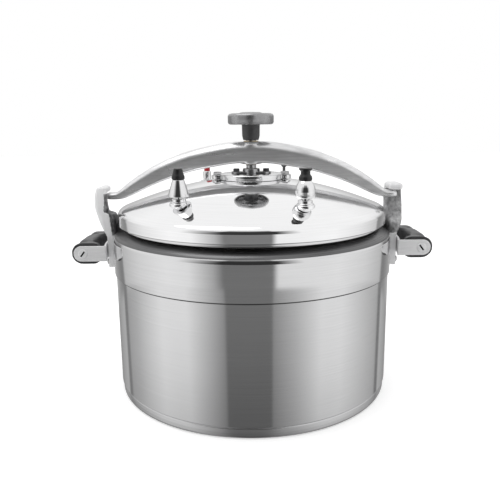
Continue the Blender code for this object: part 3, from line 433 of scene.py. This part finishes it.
# %% The lid's outline
DOME_R = 0.1720
DOME_FOOT = 0.2390
DOME_RISE = 0.0384
DOME_POWER = 1.85                 # between a cone (1) and a bowl (2)
MIDDLE_Z = 0.2742                 # the flat middle under the clamp plate
LID_R = 0.1746
LID_INNER_R = 0.1696
LID_T = 0.0040
SKIRT_LOW = 0.2213


def dome_height(radius):
    return DOME_FOOT + DOME_RISE * (1.0 - (radius / DOME_R) ** DOME_POWER)


dome_radii = [0.053 + (0.1695 - 0.053) * k / 40 for k in range(41)]
lid_outline = [(0.0, MIDDLE_Z), (0.0465, MIDDLE_Z, 0.004)]
lid_outline += [(r, dome_height(r)) for r in dome_radii]
lid_outline += [
    (0.1722, 0.2384, 0.0018), (LID_R, 0.2344, 0.0022), (LID_R, SKIRT_LOW, 0.0012),
    (LID_INNER_R, SKIRT_LOW, 0.0008), (LID_INNER_R, 0.2318, 0.0006), (0.1590, 0.2318),
    (0.1560, dome_height(0.156) - 0.005),
]
lid_outline += [(r, dome_height(r) - LID_T) for r in (0.141, 0.122, 0.102, 0.083, 0.064)]
lid_outline += [(0.045, MIDDLE_Z - LID_T, 0.004), (0.0, MIDDLE_Z - LID_T)]


# %% Join two shapes
def add_shape(bm, extra):
    """Join a second bmesh to the first and free it."""
    mesh = bpy.data.meshes.new("joined")
    extra.to_mesh(mesh)
    extra.free()
    bm.from_mesh(mesh)
    bpy.data.meshes.remove(mesh)
    return bm


# %% Lid with its pads
PAD_R = 0.0113
PAD_T = 0.0060
VENTS = {"left": (-0.0849, -0.0930), "right": (0.0611, -0.1125)}
PIN_AT = (-0.0640, 0.0790)
VALVE_AT = (0.0480, 0.0900)


def pad_height(at):
    """The top of the level pad at a place on the dome."""
    return dome_height(math.hypot(*at)) - 0.0003


lid = spun(lid_outline, steps=256, segments=8)
for at in (*VENTS.values(), PIN_AT, VALVE_AT):
    pad_top = pad_height(at)
    pad = [(0.0, pad_top), (PAD_R, pad_top, 0.0010), (PAD_R, pad_top - PAD_T), (0.0, pad_top - PAD_T)]
    add_shape(lid, spun(pad, at, 64))
place_piece("lid", lid, "lid", "lid", ["lid_shell"], 40.0)

# %% [markdown]
# ## The clamp plate on the lid
# A thick round plate spreads the screw's load over the lid. Two ears take its bolts, and a bridge with a
# round crown holds the screw's collar down.

# %% Plate with ears
SIDES = {"left": -1, "right": 1}
PLATE_R = 0.042
PLATE_LOW = 0.2745
SEAT_TOP = 0.2815
EAR_X = 0.0445
EAR_R = 0.0078
EAR_TOP = SEAT_TOP - 0.0012
plate_outline = [(0.0, SEAT_TOP), (PLATE_R, SEAT_TOP, 0.0014), (PLATE_R, PLATE_LOW, 0.0008), (0.0, PLATE_LOW)]
plate = spun(plate_outline, steps=160)
for side in SIDES.values():
    ear = [(0.0, EAR_TOP), (EAR_R, EAR_TOP, 0.0012), (EAR_R, PLATE_LOW, 0.0006), (0.0, PLATE_LOW)]
    add_shape(plate, spun(ear, (side * EAR_X, 0.0), 48))
place_piece("clamp_plate", plate, "seat", "lid", ["seat_plate"])


# %% Round some edges
def round_edges(bm, edges, offset, segments):
    bmesh.ops.bevel(bm, geom=edges, offset=offset, offset_type="OFFSET", segments=segments, profile=0.5,
                    affect="EDGES", material=-1)


def edges_along(bm, axis):
    """The edges that run along X (0), Y (1) or Z (2)."""
    return [e for e in bm.edges if abs(e.verts[0].co[axis] - e.verts[1].co[axis]) > 1e-4]


# %% Bolts with a hexagon head
HEX_HEAD = 0.0034


def hexagon_bolt(at, under, across, shank, low):
    """A bolt that points down: the underside of its head, half its width, shank radius, lower end."""
    bm = bmesh.new()
    head_middle = under + HEX_HEAD / 2
    bmesh.ops.create_cone(bm, cap_ends=True, segments=6, radius1=across, radius2=across, depth=HEX_HEAD,
                          matrix=Matrix.Translation((at[0], at[1], head_middle)))
    top = [e for e in bm.edges if all(v.co.z > head_middle for v in e.verts)]
    round_edges(bm, top, across * 0.14, 2)
    add_shape(bm, spun([(0.0, under), (shank, under), (shank, low, shank * 0.25), (0.0, low)], at, 24))
    return bm


BRIDGE_BOLT_X = 0.0195
for word, side in SIDES.items():
    bolt = hexagon_bolt((side * EAR_X, 0.0), SEAT_TOP - 0.0009, 0.0060, 0.0030, 0.2617)
    place_piece("ear_bolt_" + word, bolt, "screw", "lid", ["seat_bolt_" + word])
    small = hexagon_bolt((side * BRIDGE_BOLT_X, 0.0), SEAT_TOP + 0.0031, 0.0046, 0.0020, 0.2770)
    place_piece("bridge_bolt_" + word, small, "black_steel", "lid", ["retainer_bolt_" + word])

# %% The bridge over the screw's collar
BRIDGE_SIZE = (0.052, 0.019, 0.0025)
bridge = bmesh.new()
bmesh.ops.create_cube(bridge, size=1.0, matrix=Matrix.Translation((0.0, 0.0, SEAT_TOP + 0.00155))
                      @ Matrix.Diagonal((*BRIDGE_SIZE, 1.0)))
round_edges(bridge, edges_along(bridge, 2), 0.0094, 12)
rim = [e for e in bridge.edges if all(v.co.z > SEAT_TOP + 0.002 for v in e.verts)]
round_edges(bridge, rim, 0.0006, 3)
crown = [(0.0073, 0.2884, 0.0004), (0.0112, 0.2884, 0.0012), (0.0112, 0.2818), (0.0073, 0.2818)]
add_shape(bridge, spun(crown, steps=64, closed=True))
place_piece("collar_bridge", bridge, "retainer", "lid", ["screw_retainer"])

# %% [markdown]
# ## Vents, weights and valves
# Two vent pipes stand at the front of the lid, each under a loose weight that hisses when the pressure is
# reached. Behind the beam a red pin shows that there is pressure, and a spring valve guards against too much.

# %% Vent pipes
PIPE_TOP = 0.2758
for word, at in VENTS.items():
    face = pad_height(at)
    pipe = [
        (0.0014, PIPE_TOP), (0.0026, PIPE_TOP, 0.0004), (0.0032, PIPE_TOP - 0.0018),
        (0.0032, face + 0.0054, 0.0004), (0.0084, face + 0.0054, 0.0010), (0.0084, face + 0.0019, 0.0004),
        (0.0098, face + 0.0014, 0.0005), (0.0098, face), (0.0040, face), (0.0040, face - 0.0150),
        (0.0014, face - 0.0150),
    ]
    stem = spun(pipe, at, 48, closed=True)
    place_piece("vent_" + word, stem, "chrome", "lid", ["vent_pipe_" + word])

# %% The weights
SOCKET_R = 0.0042                 # the hollow in a weight that takes the pipe's tip
SOCKET_TOP = PIPE_TOP + 0.0003
cone = [
    (0.0, 0.2831), (0.0068, 0.2831, 0.0006), (0.0097, 0.2745, 0.008), (0.0122, 0.2658, 0.0016),
    (0.0124, 0.2631, 0.0010), (SOCKET_R, 0.2629), (SOCKET_R, SOCKET_TOP), (0.0, SOCKET_TOP),
]
cone_cap = [
    (0.0, 0.2960), (0.0051, 0.2960, 0.0014), (0.0060, 0.2902, 0.002), (0.0076, 0.2868, 0.0012),
    (0.0076, 0.2834, 0.0006), (0.0, 0.2834),
]
barrel = [
    (0.0, 0.2827), (0.0068, 0.2827, 0.0006), (0.0105, 0.2770, 0.003), (0.0124, 0.2699, 0.004),
    (0.0109, 0.2636, 0.0016), (0.0084, 0.2620, 0.0006), (SOCKET_R, 0.2620), (SOCKET_R, SOCKET_TOP),
    (0.0, SOCKET_TOP),
]
barrel_cap = [
    (0.0, 0.2965), (0.0076, 0.2965, 0.0007), (0.0076, 0.2947, 0.0006), (0.0054, 0.2931, 0.0006),
    (0.0054, 0.2897, 0.0006), (0.0076, 0.2864, 0.0008), (0.0076, 0.2830, 0.0004), (0.0, 0.2830),
]
WEIGHT_SHAPES = (("left", "cone", cone, cone_cap), ("right", "barrel", barrel, barrel_cap))
for word, shape, metal, plastic in WEIGHT_SHAPES:
    weight, weight_cap = "weight_" + word, "weight_cap_" + word
    place_piece("weight_" + shape, spun(metal, VENTS[word], 96), "chrome", weight, [weight])
    place_piece("cap_" + shape, spun(plastic, VENTS[word], 64), "cap", weight, [weight_cap])

# %% The pressure pin
PIN_RIM = 0.2788
pin_face = pad_height(PIN_AT)
holder = [
    (0.0034, PIN_RIM, 0.0002), (0.0054, PIN_RIM, 0.0008), (0.0058, PIN_RIM - 0.0050),
    (0.0054, pin_face + 0.0036), (0.0092, pin_face + 0.0030, 0.0008), (0.0092, pin_face), (0.0060, pin_face),
    (0.0060, pin_face - 0.0140), (0.0034, pin_face - 0.0140),
]
place_piece("pin_holder", spun(holder, PIN_AT, 48, closed=True), "chrome", "lid", ["float_seat"])
pin = [
    (0.0, 0.2909), (0.0034, 0.2905, 0.001), (0.0042, 0.2883, 0.0008), (0.0042, 0.2791), (0.0031, 0.2791),
    (0.0031, pin_face - 0.0215), (0.0042, pin_face - 0.0215), (0.0042, pin_face - 0.0230),
    (0.0, pin_face - 0.0230),
]
place_piece("pressure_pin", spun(pin, PIN_AT, 40), "red", "float", ["float_pin"])

# %% The spring valve
VALVE_TOP = 0.2765
valve_face = pad_height(VALVE_AT)
valve_foot = valve_face - 0.0130
valve = [
    (0.0024, VALVE_TOP, 0.0002), (0.0064, VALVE_TOP, 0.0014), (0.0072, VALVE_TOP - 0.0040, 0.0008),
    (0.0072, valve_face + 0.0062), (0.0095, valve_face + 0.0055, 0.0008), (0.0095, valve_face),
    (0.0075, valve_face), (0.0075, valve_foot), (0.0052, valve_foot), (0.0052, VALVE_TOP - 0.0030),
    (0.0024, VALVE_TOP - 0.0030),
]
valve_shell = spun(valve, VALVE_AT, 48, closed=True)
place_piece("valve_body", valve_shell, "chrome", "lid", ["safety_valve_body"])
collar_top = valve_foot + 0.0059
collar_low = valve_foot + 0.0039
lifter = [
    (0.0, 0.2885), (0.0036, 0.2885, 0.0009), (0.0040, 0.2835, 0.0008), (0.0021, 0.2828, 0.0003),
    (0.0021, collar_top), (0.0046, collar_top), (0.0046, collar_low), (0.0, collar_low),
]
valve_lifter = spun(lifter, VALVE_AT, 40)
place_piece("valve_stem", valve_lifter, "black_steel", "safety_stem", ["safety_valve_stem"])

# %% [markdown]
# ## Castings
# A casting has no sharp corners: where a rib meets a boss the metal flows over in a fillet. Blender's
# voxel remesh melts joined shapes into one skin, and a few rounds of smoothing then give those fillets.
# That suits the hooks, the beam and the grips better than bevels, which fail where many edges meet. The
# sides of a hook that face its opening and the pot are rough, and dark with painted shade.

# %% Melt joined shapes into one skin
def melted(bm, voxel, rounds):
    """Voxel-remesh a bmesh, smooth it and return the new bmesh."""
    mesh = bpy.data.meshes.new("melting")
    bm.to_mesh(mesh)
    bm.free()
    lump = bpy.data.objects.new("melting", mesh)
    bpy.context.scene.collection.objects.link(lump)
    remesh = lump.modifiers.new("skin", "REMESH")
    remesh.mode = "VOXEL"
    remesh.voxel_size = voxel
    soften = lump.modifiers.new("soften", "SMOOTH")
    soften.factor = 0.5
    soften.iterations = rounds
    ready = lump.evaluated_get(bpy.context.evaluated_depsgraph_get())
    result = bmesh.new()
    result.from_mesh(ready.to_mesh())
    ready.to_mesh_clear()
    bpy.data.objects.remove(lump)
    bpy.data.meshes.remove(mesh)
    return result


# %% [markdown]
# A long casting starts as one cube that is cut across at many places. Each cut is then moved to the
# height and width that the casting has there, so the arch comes from one smooth table of sizes.

# %% A smooth curve through a table
def smooth_value(table, x, column):
    """The value of a column at x, on a smooth curve through the table's rows."""
    last = len(table) - 2
    k = max(0, min(last, sum(row[0] <= x for row in table) - 1))
    rows = [table[max(0, min(last + 1, k + step))] for step in (-1, 0, 1, 2)]
    x1, x2 = rows[1][0], rows[2][0]
    share = max(0.0, min(1.0, (x - x1) / (x2 - x1)))
    slopes = []
    for a, b in ((rows[0], rows[2]), (rows[1], rows[3])):
        slopes.append((b[column] - a[column]) / (b[0] - a[0]) * (x2 - x1))
    s2, s3 = share * share, share ** 3
    return (
        (2 * s3 - 3 * s2 + 1) * rows[1][column] + (s3 - 2 * s2 + share) * slopes[0]
        + (3 * s2 - 2 * s3) * rows[2][column] + (s3 - s2) * slopes[1]
    )


# %% Cut a block into slices
def sliced(bm, axis, low, high, count):
    """Cut a bmesh into even slices between two places along X (0), Y (1) or Z (2)."""
    along = Vector((0.0, 0.0, 0.0))
    along[axis] = 1.0
    for k in range(1, count):
        everything = bm.verts[:] + bm.edges[:] + bm.faces[:]
        cut = along * (low + (high - low) * k / count)
        bmesh.ops.bisect_plane(bm, geom=everything, plane_co=cut, plane_no=along, dist=1e-6)


# %% The beam's blank
BEAM_TABLE = [       # distance from the axis, top, underside, half width
    (0.000, 0.3230, 0.2957, 0.0150), (0.022, 0.3225, 0.2950, 0.0150), (0.045, 0.3193, 0.2917, 0.0147),
    (0.070, 0.3140, 0.2871, 0.0142), (0.090, 0.3085, 0.2818, 0.0136), (0.110, 0.3012, 0.2752, 0.0130),
    (0.128, 0.2927, 0.2683, 0.0124), (0.144, 0.2832, 0.2609, 0.0118), (0.158, 0.2738, 0.2545, 0.0112),
    (0.168, 0.2662, 0.2508, 0.0108), (0.177, 0.2592, 0.2497, 0.0106), (0.186, 0.2585, 0.2496, 0.0104),
    (0.191, 0.2575, 0.2505, 0.0088),
]
BEAM_END = BEAM_TABLE[-1][0]
beam = bmesh.new()
bmesh.ops.create_cube(beam, size=1.0, matrix=Matrix.Diagonal((2.0 * BEAM_END, 1.0, 1.0, 1.0)))
sliced(beam, 0, -BEAM_END, BEAM_END, 96)
upper_edges = [e for e in edges_along(beam, 0) if e.verts[0].co.z > 0]
round_edges(beam, upper_edges, 0.42, 8)
lower_edges = [e for e in edges_along(beam, 0) if e.verts[0].co.z < -0.45]
round_edges(beam, lower_edges, 0.15, 4)
for vert in beam.verts:
    reach = abs(vert.co.x)
    top, low, half = (smooth_value(BEAM_TABLE, reach, column) for column in (1, 2, 3))
    vert.co.y *= 2.0 * half
    vert.co.z = (top + low) / 2 + vert.co.z * (top - low)
print("beam blank", len(beam.verts), "points")

# %% The beam, melted with its boss
BOSS_R = 0.0145
BOSS_TOP = 0.3234
BOSS_LOW = 0.2940
boss = [
    (0.0, BOSS_TOP), (0.0110, BOSS_TOP, 0.0016), (BOSS_R, 0.3190, 0.0010), (BOSS_R, BOSS_LOW, 0.0012),
    (0.0, BOSS_LOW),
]
add_shape(beam, spun(boss, steps=64))
bmesh.ops.recalc_face_normals(beam, faces=beam.faces)
place_piece("beam", melted(beam, 0.0010, 9), "beam", "beam", ["clamp_beam"], 70.0)
BORE_R = 0.0073
bush = [(BORE_R, 0.3237, 0.0002), (0.0098, 0.3237, 0.0002), (0.0105, 0.2938), (BORE_R, 0.2938)]
place_piece("bush", spun(bush, steps=64, closed=True), "brass", "beam", ["beam_bush"])

# %% The hook's blank
HOOK_TABLE = [       # height, inner and outer x, rear and front y
    (0.1990, 0.1765, 0.1895, -0.0240, 0.0250), (0.2080, 0.1765, 0.1940, -0.0245, 0.0256),
    (0.2180, 0.1768, 0.1985, -0.0195, 0.0258), (0.2280, 0.1782, 0.2010, -0.0060, 0.0258),
    (0.2380, 0.1795, 0.2028, 0.0060, 0.0254), (0.2480, 0.1795, 0.2030, 0.0134, 0.0250),
    (0.2580, 0.1795, 0.2020, 0.0134, 0.0246), (0.2660, 0.1815, 0.1996, 0.0142, 0.0234),
]
OPENING_Z = 0.235                 # above this the hook's inner face keeps clear of the beam's end


def hook_blank(inner_x):
    """The post of the right-hand hook, without its foot plate and lip."""
    bm = bmesh.new()
    low, high = HOOK_TABLE[0][0], HOOK_TABLE[-1][0]
    bmesh.ops.create_cube(bm, size=1.0, matrix=Matrix.Translation((0, 0, (low + high) / 2))
                          @ Matrix.Diagonal((1.0, 1.0, high - low, 1.0)))
    sliced(bm, 2, low, high, 24)
    round_edges(bm, edges_along(bm, 2), 0.34, 6)
    for vert in bm.verts:
        x0, x1, y0, y1 = (smooth_value(HOOK_TABLE, vert.co.z, column) for column in (1, 2, 3, 4))
        x0 = max(x0, inner_x) if vert.co.z > OPENING_Z else x0
        vert.co.x = (x0 + x1) / 2 + vert.co.x * (x1 - x0)
        vert.co.y = (y0 + y1) / 2 + vert.co.y * (y1 - y0)
    return bm


# %% Blocks, bent plates and turns
def box(low, high):
    """A plain block between two corners."""
    low, high = Vector(low), Vector(high)
    place = Matrix.Translation((low + high) / 2) @ Matrix.Diagonal((*(high - low), 1.0))
    bm = bmesh.new()
    bmesh.ops.create_cube(bm, size=1.0, matrix=place)
    return bm


def block(low, high, rounding, segments=3):
    """A block between two corners with all its edges rounded."""
    bm = box(low, high)
    round_edges(bm, bm.edges[:], rounding, segments)
    return bm


def rotate(bm, angle, axis):
    """Turn a whole bmesh round one of the main axes."""
    bmesh.ops.rotate(bm, verts=bm.verts, cent=(0, 0, 0), matrix=Matrix.Rotation(angle, 3, axis))


def curved_plate(inner, outer, low, high, half_angle, steps=16):
    """A plate bent round the Z axis, made by spinning its end face through an arc."""
    bm = bmesh.new()
    end_face = ((inner, low), (outer, low), (outer, high), (inner, high))
    bm.faces.new([bm.verts.new((x, 0.0, z)) for x, z in end_face])
    rotate(bm, -half_angle, "Z")
    bmesh.ops.spin(bm, geom=bm.verts[:] + bm.edges[:] + bm.faces[:], axis=(0, 0, 1), cent=(0, 0, 0),
                   angle=2 * half_angle, steps=steps, use_duplicate=False, use_merge=False)
    bmesh.ops.recalc_face_normals(bm, faces=bm.faces)
    return bm


def turned_round(bm, side):
    """The left-hand piece is the right-hand one turned by half a turn."""
    if side < 0:
        rotate(bm, math.pi, "Z")
    return bm


# %% The hooks
FOOT_R = 0.1905
FOOT_LOW = 0.1622
FOOT_HIGH = 0.2050
FOOT_HALF_ANGLE = math.radians(7.8)
LIP_Z = 0.2588
LIP_T = 0.0088
HOOK_INNER_X = {"left": 0.1868, "right": 0.1795}
for word, side in SIDES.items():
    inner_x = HOOK_INNER_X[word]
    hook = hook_blank(inner_x)
    add_shape(hook, curved_plate(BAND_R + 0.0004, FOOT_R - 0.0004, FOOT_LOW, FOOT_HIGH, FOOT_HALF_ANGLE))
    add_shape(hook, block((inner_x + 0.0005, -0.0095, LIP_Z), (0.1990, 0.0238, LIP_Z + LIP_T), 0.0040))
    bmesh.ops.recalc_face_normals(hook, faces=hook.faces)
    cast = melted(turned_round(hook, side), 0.0007, 6)
    # Faces towards the hook's opening and the pot take painted shade: a dark, rough finish.
    for face in cast.faces:
        height_there = face.calc_center_median().z
        normal = face.normal * side
        if FOOT_HIGH < height_there < LIP_Z and min(normal.x, normal.y) < -0.30:
            face.material_index = 1
    place_piece("hook_" + word + "_cast", cast, "hook", "pot", ["hook_" + word], 70.0,
                second="hook_painted_shade")

# %% [markdown]
# ## Handles
# Each handle is a steel strap riveted round the hook's foot. Its two tabs carry a dark moulded grip, and
# a slotted bolt goes through tab, grip and tab.

# %% The strap
HANDLE_Z = {"left": 0.1848, "right": 0.1893}
TAB_Y = 0.0450
TAB_H = 0.0200
STRAP_T = 0.0025
TAB_INNER_X = 0.1862
TAB_OUTER_X = 0.2279
strap_angle = math.asin((TAB_Y - 0.0008) / 0.1933)


def tab(y0, y1, middle):
    """A plate with a half-round outer end."""
    bm = box((TAB_INNER_X, y0, middle - TAB_H / 2), (TAB_OUTER_X, y1, middle + TAB_H / 2))
    ends = [e for e in edges_along(bm, 1) if all(v.co.x > 0.2 for v in e.verts)]
    round_edges(bm, ends, TAB_H / 2 - 0.0002, 12)
    return bm


for word, side in SIDES.items():
    low, high = HANDLE_Z[word] - TAB_H / 2, HANDLE_Z[word] + TAB_H / 2
    strap = curved_plate(FOOT_R + 0.0003, FOOT_R + 0.0003 + STRAP_T, low, high, strap_angle, 24)
    for near, far in ((-TAB_Y, -TAB_Y + STRAP_T), (TAB_Y - STRAP_T, TAB_Y)):
        add_shape(strap, tab(near, far, HANDLE_Z[word]))
    bmesh.ops.recalc_face_normals(strap, faces=strap.faces)
    place_piece("strap_" + word, melted(turned_round(strap, side), 0.0005, 3), "strap", "pot",
                ["handle_strap_" + word], 70.0)

# %% The grip
GRIP_TABLE = [       # distance along Y, inner and outer x, height above and below the middle
    (0.0000, 0.2085, 0.2304, 0.0142, 0.0120), (0.0180, 0.2080, 0.2298, 0.0140, 0.0120),
    (0.0290, 0.2035, 0.2228, 0.0130, 0.0118), (0.0335, 0.1960, 0.2293, 0.0132, 0.0132),
    (0.0422, 0.1955, 0.2309, 0.0138, 0.0138),
]
GRIP_END = GRIP_TABLE[-1][0]
for word, side in SIDES.items():
    grip = bmesh.new()
    bmesh.ops.create_cube(grip, size=1.0, matrix=Matrix.Diagonal((1.0, 2.0 * GRIP_END, 1.0, 1.0)))
    sliced(grip, 1, -GRIP_END, GRIP_END, 40)
    round_edges(grip, [e for e in edges_along(grip, 1) if e.verts[0].co.x > 0.49], 0.48, 10)
    round_edges(grip, [e for e in edges_along(grip, 1) if e.verts[0].co.x < -0.49], 0.20, 4)
    for vert in grip.verts:
        reach, across = abs(vert.co.y), vert.co.x
        inner, outer, above, below = (smooth_value(GRIP_TABLE, reach, column) for column in (1, 2, 3, 4))
        round_r = (above + below) / 2
        flat = outer - round_r
        vert.co.x = flat + (across - 0.02) / 0.48 * round_r if across > 0.02 else (
            inner + (across + 0.5) / 0.52 * (flat - inner))
        vert.co.z = HANDLE_Z[word] - below + (vert.co.z + 0.5) * (above + below)
    bmesh.ops.recalc_face_normals(grip, faces=grip.faces)
    place_piece("grip_" + word, melted(turned_round(grip, side), 0.0007, 2), "bakelite", "pot",
                ["handle_grip_" + word], 70.0)

# %% Cut one shape out of another
def cut_out(bm, tool):
    """Cut the second bmesh out of the first with an exact boolean, and return what is left."""
    solids = []
    for shape, label in ((bm, "whole"), (tool, "tool")):
        bmesh.ops.remove_doubles(shape, verts=shape.verts, dist=1e-6)
        bmesh.ops.recalc_face_normals(shape, faces=shape.faces)
        mesh = bpy.data.meshes.new(label)
        shape.to_mesh(mesh)
        shape.free()
        solids.append(bpy.data.objects.new(label, mesh))
        bpy.context.scene.collection.objects.link(solids[-1])
    cut = solids[0].modifiers.new("cut", "BOOLEAN")
    cut.object = solids[1]
    cut.operation = "DIFFERENCE"
    cut.solver = "EXACT"
    ready = solids[0].evaluated_get(bpy.context.evaluated_depsgraph_get())
    left_over = bmesh.new()
    left_over.from_mesh(ready.to_mesh())
    ready.to_mesh_clear()
    for solid in solids:
        bpy.data.objects.remove(solid)
    return left_over


# %% The slotted bolts
BOLT_X = 0.2160
SLOT_FLOOR = 0.0456
SLOT_TURN = 0.65                  # in radians, away from upright
for word, side in SIDES.items():
    bolt_outline = [
        (0.0, 0.0464), (0.0056, 0.0461, 0.0003), (0.0061, 0.0453), (0.0030, 0.0453),
        (0.0030, -0.0498, 0.0004), (0.0, -0.0498),
    ]
    slot_tool = block((-0.0010, -0.0042, SLOT_FLOOR), (0.0010, 0.0042, 0.0490), 0.0001, 1)
    rotate(slot_tool, side * SLOT_TURN, "Z")
    bolt = cut_out(spun(bolt_outline, steps=48), slot_tool)
    # Faces inside the slot take a near-black finish: painted shade in the slot.
    for face in bolt.faces:
        middle = face.calc_center_median()
        inside_head = middle.z > 0.0455 and middle.xy.length < 0.0055
        if inside_head and (abs(face.normal.z) < 0.15 or middle.z < 0.0459):
            face.material_index = 1
    rotate(bolt, math.pi / 2, "X")
    bmesh.ops.translate(bolt, verts=bolt.verts, vec=(side * BOLT_X, 0.0, HANDLE_Z[word]))
    place_piece("grip_bolt_" + word, bolt, "strap", "pot", ["handle_bolt_" + word],
                second="slot_shade")

# %% The rivets
HOOK_RIVET_Z = 0.1688
TAIL_R = 0.1746                   # where a rivet's tail meets the inside of the pot's wall
TAIL_END_R = 0.1728
SHANK_R = 0.0030
RIVET_R = 0.0046


def rivet_blank(head):
    """A rivet along Z whose head stands on the radius given."""
    return spun([
        (0.0, head + 0.0026), (0.0032, head + 0.0019, 0.0012), (RIVET_R, head + 0.0003, 0.0003),
        (SHANK_R, head + 0.0003), (SHANK_R, TAIL_R), (RIVET_R, TAIL_R), (RIVET_R, TAIL_END_R, 0.0004),
        (0.0, TAIL_END_R),
    ], steps=32)


for word, side in SIDES.items():
    rows = (("hook", 5.2, HOOK_RIVET_Z, FOOT_R), ("strap", 4.2, HANDLE_Z[word], FOOT_R + 0.0028))
    for kind, yaw, z, head in rows:
        for place_word, sign in (("rear", -1), ("front", 1)):
            rivet = rivet_blank(head)
            rotate(rivet, math.pi / 2, "Y")
            bmesh.ops.translate(rivet, verts=rivet.verts, vec=(0.0, 0.0, z))
            rotate(rivet, math.radians(sign * yaw), "Z")
            where = f"{word}_{place_word}"
            place_piece(f"{kind}_pin_{where}", turned_round(rivet, side), "rivet", "pot",
                        [f"{kind}_rivet_{where}"])

# %% [markdown]
# ## Screw and knob
# The knob is a disc with shallow finger lobes on a fluted stem; the stem here is turned plain, without
# its flutes. The disc starts as a circle whose points are moved in and out, and is then extruded upwards
# and drawn in at its edges.

# %% The knob's disc
KNOB_R = 0.0297
KNOB_LOW = 0.3443
KNOB_TOP = 0.3585
LOBES = 8
LOBE_DEPTH = 0.028                # as a share of the radius
knob = bmesh.new()
bmesh.ops.create_circle(knob, cap_ends=True, segments=160, radius=KNOB_R)
for vert in knob.verts:
    angle = math.atan2(vert.co.y, vert.co.x)
    lobe = 1.0 - LOBE_DEPTH * (0.5 - 0.5 * math.cos(LOBES * angle))
    vert.co.x *= lobe
    vert.co.y *= lobe
bmesh.ops.translate(knob, verts=knob.verts, vec=(0, 0, KNOB_LOW))
bmesh.ops.scale(knob, verts=knob.verts, vec=(0.90, 0.90, 1.0))
rising = knob.faces[:]
for growth, rise in ((1.08, 0.0010), (1.029, 0.0022), (1.0, 0.0035), (1.0, 0.0035), (0.985, 0.0018),
                     (0.955, 0.0014), (0.90, 0.0008)):
    made = bmesh.ops.extrude_face_region(knob, geom=rising)["geom"]
    bmesh.ops.delete(knob, geom=rising, context="FACES_ONLY")
    rising = [g for g in made if isinstance(g, bmesh.types.BMFace)]
    lifted = [g for g in made if isinstance(g, bmesh.types.BMVert)]
    bmesh.ops.translate(knob, verts=lifted, vec=(0, 0, rise))
    bmesh.ops.scale(knob, verts=lifted, vec=(growth, growth, 1.0))
print("knob disc", len(knob.faces), "faces")
place_piece("knob_disc", knob, "knob", "screw", ["knob"])

# %% The stem, the cap and the screw
STEM_LOW = 0.3246
CAP_R = 0.0155
COLLAR_R = 0.0092
COLLAR_TOP = 0.2855
COLLAR_LOW = 0.2821
stem = [
    (BORE_R, 0.3460), (0.0122, 0.3460), (0.0116, 0.3430, 0.001), (0.0114, 0.3300, 0.0010),
    (0.0100, STEM_LOW, 0.0006), (BORE_R, STEM_LOW),
]
place_piece("knob_stem", spun(stem, steps=96, closed=True), "bakelite", "screw", [])
cap = [
    (0.0, KNOB_TOP + 0.0017), (0.0120, KNOB_TOP + 0.0014, 0.001), (CAP_R, KNOB_TOP + 0.0002, 0.0004),
    (CAP_R, KNOB_TOP - 0.0027), (0.0, KNOB_TOP - 0.0027),
]
place_piece("knob_lid", spun(cap, steps=96), "knob", "screw", ["knob_cap"])
screw = [
    (0.0, 0.3500), (0.0064, 0.3500, 0.0008), (0.0064, COLLAR_TOP), (0.0070, COLLAR_TOP),
    (COLLAR_R, COLLAR_TOP, 0.0005), (COLLAR_R, COLLAR_LOW), (0.0, COLLAR_LOW),
]
place_piece("screw", spun(screw, steps=64), "screw", "screw", ["clamp_screw"])

# %% The screw's thread
THREAD_PITCH = 0.0025
THREAD_TURNS = 22
THREAD_LOW = 0.2910
TURN_STEPS = 32
thread = bmesh.new()
tooth = [(0.0060, -0.0010), (0.0070, -0.0002), (0.0070, 0.0002), (0.0060, 0.0010)]
tooth_verts = [thread.verts.new((x, 0.0, THREAD_LOW + z)) for x, z in tooth]
tooth_edges = [thread.edges.new(pair) for pair in zip(tooth_verts, tooth_verts[1:] + tooth_verts[:1])]
bmesh.ops.spin(thread, geom=tooth_verts + tooth_edges, axis=(0, 0, 1), cent=(0, 0, 0),
               dvec=(0, 0, THREAD_PITCH / TURN_STEPS), angle=2 * math.pi * THREAD_TURNS,
               steps=TURN_STEPS * THREAD_TURNS)
place_piece("screw_thread", thread, "screw", "screw", [])

# %% [markdown]
# ## Parts that stay as they are
# Nuts, guards, the seal, the gasket and the rack are out of sight or have plain shapes, so the frame's own
# parts stay. They still get the finish of what they are made of.

# %% Dress the frame's own parts
KEPT = {
    "screw": [
        "seat_nut_left", "seat_nut_right", "vent_nut_left", "vent_nut_right", "float_nut",
        "safety_valve_nut", "safety_valve_spring", "handle_nut_left", "handle_nut_right",
    ],
    "rack": ["steam_rack", "vent_guard_left", "vent_guard_right"],
    "silicone": ["lid_gasket", "float_seal"],
    "brass": ["safety_valve_seat"],
}
for finish, names in KEPT.items():
    for name in names:
        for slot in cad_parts[name].material_slots:
            slot.material = FINISH[finish]
print("kept", sum(len(names) for names in KEPT.values()), "frame parts")
